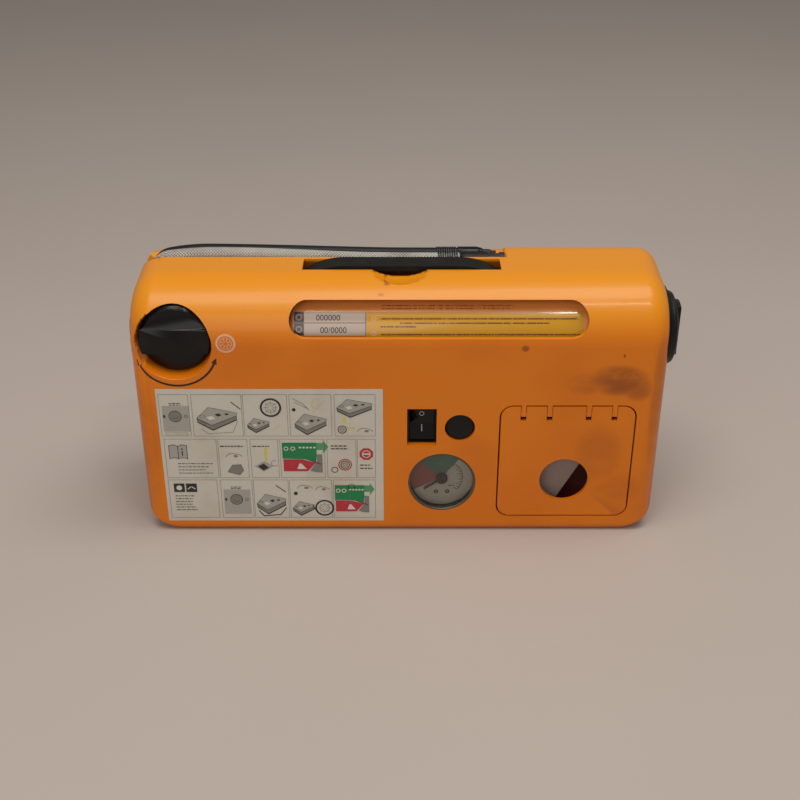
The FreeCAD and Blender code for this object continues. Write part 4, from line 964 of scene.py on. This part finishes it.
low, high = ROWS[0]
knob_picture(-137.2, low + 3, 15.6, 17)
black.box(-136.4, low + 0.8, -123.5, low + 2.2, 0.14)
case_picture(-117.5, low + 4, 23.5, 16)
black.line([(-97, high - 5), (-92, high - 9.5)], 0.5)
black.line([(-115, low + 5), (-112, low + 1.6), (-97, low + 2.6), (-94, low + 10)], 0.16)
wheel_picture(-74.5, high - 8.6, 5.6)
case_picture(-88.5, low + 2.4, 12.8, 10)
yellow.arc(-73.5, low + 8, 3.2, 0.35, 260, 350)
case_picture(-61, low + 1, 18.5, 14.5)
yellow.arc(-47.5, high - 6.5, 3.4, 0.3, 70, 230)
yellow.line([(-50.5, high - 12), (-48, high - 9), (-43.5, high - 4)], 0.3)
black.line([(-62, high - 2.5), (-56, high - 6), (-52.5, high - 10)], 0.22)
black.line([(-61, high - 5), (-57, high - 7), (-54, high - 9)], 0.18)
black.disc(-61.2, high - 10, 1.1)
case_picture(-36.5, high - 15, 20.5, 12.5)
yellow.fill(-33.2, low + 8.8, -31.4, low + 12.2)
wheel_picture(-33.6, low + 4.4, 2.4)
yellow.fill(-30.6, low + 5, -26, low + 5.9)
car_picture(-25, low + 3, 9)

low, high = ROWS[1]
book_picture(-135.8, high - 14.4, 11, 10.6)
black.small_print(-131, low + 9.6, -110, 4, 2.2, 0.4, seed=11)
black.small_print(-105.5, high - 5.2, -91, 1, 1, 0.7, seed=12)
car_picture(-102.5, high - 12, 9.5)
shade.shape([(-102, low + 4), (-99, low + 8.8), (-94, low + 9.2), (-92.5, low + 5), (-95, low + 2)])
black.line([(-102, low + 4), (-99, low + 8.8), (-94, low + 9.2), (-92.5, low + 5), (-95, low + 2)], 0.2,
           closed=True)
black.small_print(-86.5, high - 5.2, -74, 1, 1, 0.6, seed=13)
yellow.fill(-79.6, low + 12, -78.2, high - 6.2)
grey.shape([(-86, low + 8), (-80, low + 11.5), (-74.5, low + 8), (-80.5, low + 4.2)])
black.shape([(-84, low + 8), (-80.5, low + 9.8), (-77.5, low + 7), (-80.8, low + 5)])
black.arc(-74, low + 10, 1.9, 0.2, 60, 330)
gauge_picture(-69.2, low + 3.6, 23.5, 21)
black.small_print(-40.5, high - 5, -29, 2, 1.9, 0.7, seed=14)
red.arc(-32.4, low + 9, 3.7, 0.7)
wheel_picture(-32.4, low + 9, 2.5)
black.arc(-38.6, low + 5.5, 1.8, 0.45)
octagon = np.radians(np.arange(8) * 45 + 22.5)
red.shape(np.stack([-19.8 + 4.3 * np.cos(octagon), high - 10.2 + 4.3 * np.sin(octagon)], -1))
white.arc(-19.8, high - 10.2, 2.3, 0.5)
white.fill(-21.9, high - 10.7, -17.7, high - 9.7)
black.small_print(-23.6, low + 8.4, -16, 2, 2.2, 0.7, seed=15)

low, high = ROWS[2]
black.fill(-135, high - 8.6, -128.6, high - 2.6)
black.fill(-127.7, high - 8.6, -121.3, high - 2.6)
white.disc(-131.8, high - 5.6, 1.7)
white.line([(-126.6, high - 6.4), (-124.5, high - 4.6), (-122.4, high - 6.4)], 0.6)
black.small_print(-134.6, high - 11.6, -121.4, 6, 2.0, 0.45, seed=16)
knob_picture(-105.6, low + 2.6, 16, 17.5)
case_picture(-86, low + 2.6, 17.6, 15)
black.line([(-74, high - 4), (-68.5, high - 8.4)], 0.5)
black.line([(-85, low + 5), (-82, low + 1.2), (-72, low + 2.2), (-68.5, low + 7)], 0.6)
case_picture(-64.4, low + 1.6, 13, 10.5)
wheel_picture(-45.4, low + 7, 5.2)
car_picture(-61.5, high - 6, 9)
car_picture(-50.5, high - 7, 8)
black.disc(-62.4, high - 9.6, 1.2)
black.line([(-52.6, low + 9), (-50, low + 4), (-48, low + 3)], 0.4)
gauge_picture(-39, low + 3.6, 20.5, 20)
red.arc(-29, high - 5, 1.9, 0.4)
for ink in panel_inks.values():
    ink.print_on("case", "printed_sheet")
print("polygons on the panel:", sum(len(ink.faces) for ink in panel_inks.values()))

# %% [markdown]
# ## Signs on the case
# Next to the knob a pale wheel shows the air setting and a dark bottle, half round the corner, the
# sealant setting; a thin arc with an arrowhead at each end joins them below the knob. The case is
# curved there, so a Shrinkwrap modifier pushes each flat mark back until every point meets the surface.

# %% Signs on the case
SIGN_LIFT = 0.12 * MM


def lay_on(piece, target, axis, lift):
    """Pushes a flat mark along +X or +Y until each point lies on a surface, a little proud of it."""
    wrap = piece.modifiers.new("lay", "SHRINKWRAP")
    wrap.wrap_method = "PROJECT"
    wrap.use_project_x = axis == "X"
    wrap.use_project_y = axis == "Y"
    wrap.use_positive_direction = True
    wrap.use_negative_direction = False
    wrap.target = target
    wrap.offset = lift
    wrap.wrap_mode = "ABOVE_SURFACE"
    seen = piece.evaluated_get(bpy.context.evaluated_depsgraph_get())
    laid = bpy.data.meshes.new_from_object(seen)
    piece.modifiers.remove(wrap)
    piece.data = laid


sign_black = Ink("selector_arrow", tone(34, 26, 24), FRONT - STEP)
ax, az, arrow_radius = -126.4, 123.6, 23.5
sign_black.arc(ax, az, arrow_radius, 1.15, 209, 336, sides=64)
for turn, lean in ((209, 1), (336, -1)):
    angle = math.radians(turn)
    tip = np.array([ax + arrow_radius * math.cos(angle), az + arrow_radius * math.sin(angle)])
    ahead = np.array([math.sin(angle), -math.cos(angle)]) * lean
    side = np.array([math.cos(angle), math.sin(angle)])
    sign_black.shape([tip + ahead * 4.0, tip + side * 1.6, tip - side * 1.6])
arrow = sign_black.print_on("case", "black_plastic")
lay_on(arrow, front_case, "Y", SIGN_LIFT)

sign_pale = Ink("wheel_sign", tone(226, 176, 140), FRONT - STEP)
wx, wz = -97.6, 126.6
sign_pale.arc(wx, wz, 5.0, 1.3)
sign_pale.arc(wx, wz, 3.4, 0.35)
for spoke in range(8):
    turn = math.radians(22.5 + 45 * spoke)
    sign_pale.line([(wx + 1.2 * math.cos(turn), wz + 1.2 * math.sin(turn)),
                    (wx + 3.2 * math.cos(turn), wz + 3.2 * math.sin(turn))], 0.5)
wheel_sign = sign_pale.print_on("case", "printed_sheet")
lay_on(wheel_sign, front_case, "Y", SIGN_LIFT)

LEFT = reach("front_shell", "X")[0]
side_ink = Ink("bottle_sign", tone(40, 30, 26), 0)
for outline in ([(-36, 118), (-28.4, 118), (-28.4, 130), (-30.4, 132), (-34, 132), (-36, 130)],
                [(-33.8, 132.6), (-30.6, 132.6), (-30.6, 135.6), (-33.8, 135.6)]):
    side_ink.line(outline, 0.7, closed=True)
side_ink.fill(-34.6, 121, -29.8, 125)
bottle_sign = side_ink.print_on("case", "black_plastic")
spots = np.empty(len(bottle_sign.data.vertices) * 3)
bottle_sign.data.vertices.foreach_get("co", spots)
spots = spots.reshape(-1, 3)
turned = np.stack([np.full(len(spots), LEFT - 5 * MM), spots[:, 0], spots[:, 2]], -1)
bottle_sign.data.vertices.foreach_set("co", turned.reshape(-1))
lay_on(bottle_sign, front_case, "X", SIGN_LIFT)
print("signs on the case:", len(arrow.data.polygons), len(wheel_sign.data.polygons),
      len(bottle_sign.data.polygons))

# %% [markdown]
# ## The gauge's dial
# Silver white, with a red sector at the lower left, a green one above and a scale at the right: an
# arc, ticks and small marks. The needle rests on its stop at the lower left.

# %% Dial
dial_y = reach("gauge_dial", "Y")[0]


def dial_finish():
    finish = Finish("dial_face", Roughness=0.35, Metallic=0.15)
    grain = finish.noise(400, 3)
    finish.colour(finish.blend(grain.rises(0.3, 0.8) * 0.4, tone(178, 170, 156), tone(156, 147, 133)))
    return finish.relief(grain, 0.01 * MM)


smooth_copy("gauge_dial", dial_finish())
gx, gz = gauge_x / MM, gauge_z / MM


def sector(ink, start, end, inner, outer):
    """A part of a ring round the dial's centre, between two angles in degrees."""
    angle = np.radians(np.linspace(start, end, 40))
    rim = np.stack([gx + outer * np.cos(angle), gz + outer * np.sin(angle)], -1)
    core = np.stack([gx + inner * np.cos(angle), gz + inner * np.sin(angle)], -1)
    for i in range(len(angle) - 1):
        ink.shape([rim[i], rim[i + 1], core[i + 1], core[i]])


dial_red = Ink("dial_red", tone(140, 62, 56), dial_y - STEP)
sector(dial_red, 140, 207, 3.4, 19.2)
dial_green = Ink("dial_green", tone(62, 104, 88), dial_y - STEP)
sector(dial_green, 52, 140, 3.4, 19.2)
dial_black = Ink("dial_scale", tone(40, 38, 36), dial_y - 2 * STEP)
dial_black.arc(gx, gz, 12.6, 0.35, -42, 50)
for tick in range(11):
    turn = math.radians(-42 + 9.2 * tick)
    inner = 10.2 if tick % 2 == 0 else 11.2
    dial_black.line([(gx + inner * math.cos(turn), gz + inner * math.sin(turn)),
                     (gx + 12.6 * math.cos(turn), gz + 12.6 * math.sin(turn))], 0.35)
for turn in (252, 290):
    angle = math.radians(turn)
    x, z = gx + 10.5 * math.cos(angle), gz + 10.5 * math.sin(angle)
    dial_black.arc(x, z, 1.0, 0.7)
    dial_black.line([(x - 1.2, z), (x + 1.2, z)], 0.4)
dial_black.small_print(gx + 4, gz - 6, gx + 8.5, 1, 1, 0.6, seed=5)
for ink in (dial_red, dial_green, dial_black):
    ink.print_on("case", "dial_face")
print("dial centre:", round(gx, 2), round(gz, 2), "millimetres")

# %% [markdown]
# ## Rocker marks
# The rocker carries a white ring and a white bar. Its face is bent in the middle, so they are drawn
# flat in front of it and laid on it by the same modifier as the signs on the case.

# %% Rocker marks
rx = middle("switch_rocker")[0] / MM
rz = middle("switch_body")[2] / MM
rocker_ink = Ink("rocker_marks", tone(170, 170, 164), FRONT - 5 * MM)
rocker_ink.arc(rx, rz + 6.4, 1.25, 0.42)
rocker_ink.line([(rx, rz - 4.6), (rx, rz - 0.8)], 0.5)
rocker_marks = rocker_ink.print_on("rocker", "printed_sheet")
lay_on(rocker_marks, skins["switch_rocker"], "Y", SIGN_LIFT / 2)
print("rocker marks:", len(rocker_marks.data.polygons))

# %% [markdown]
# ## Stamped numbers
# The label's numbers are plain figures, turned into a mesh and wrapped round the bottle by the same
# formula as the sleeve, a little further out.

# %% Stamped numbers
def wrapped_figures(name, words, x, up, height):
    """Figures laid on the label: x stays, the height becomes an angle round the bottle."""
    curve = bpy.data.curves.new(name, "FONT")
    curve.body = words
    curve.size = height * MM
    holder = bpy.data.objects.new(name + "_text", curve)
    bpy.context.collection.objects.link(holder)
    mesh = bpy.data.meshes.new_from_object(holder)
    bpy.data.objects.remove(holder)
    flat = np.empty(len(mesh.vertices) * 3)
    mesh.vertices.foreach_get("co", flat)
    flat = flat.reshape(-1, 3)
    angle = (LABEL_RADIUS * LABEL_TOP - up * MM + flat[:, 1]) / LABEL_RADIUS
    radius = LABEL_RADIUS + 0.06 * MM
    placed = np.stack([x * MM + flat[:, 0], bottle_y - radius * np.cos(angle),
                       bottle_z + radius * np.sin(angle)], -1)
    mesh.vertices.foreach_set("co", placed.reshape(-1))
    piece = bpy.data.objects.new(name, mesh)
    bpy.context.collection.objects.link(piece)
    return dress(piece, stamp_ink, "cartridge")


stamp_ink = moulded("stamp_ink", tone(44, 38, 70), 0.5, 0.0)
wrapped_figures("batch_figures", "000000", -47.4, 4.9, 4.6)
date = wrapped_figures("date_figures", "00/0000", -45, 11.9, 4.6)
print("faces of the date:", len(date.data.polygons))

# %% [markdown]
# ## Floor
# A plain pale floor, a touch uneven in gloss, is enough to hold the shadow.

# %% Floor
floor_finish = Finish("pale_floor", Specular_IOR_Level=0.3)
floor_finish.colour(floor_finish.blend(floor_finish.noise(3, 2), tone(182, 172, 165), tone(189, 179, 172)))
floor_finish.rough(0.7 + floor_finish.noise(8, 2) * 0.1)
floor_grid = np.stack(np.meshgrid(np.linspace(-4, 4, 9), np.linspace(-3, 6, 9), [0.0],
                                  indexing="ij"), -1)[:, :, 0]
floor = sheet_of("floor", floor_grid)
floor.data.materials.append(floor_finish.material)
print("floor squares:", len(floor.data.polygons))
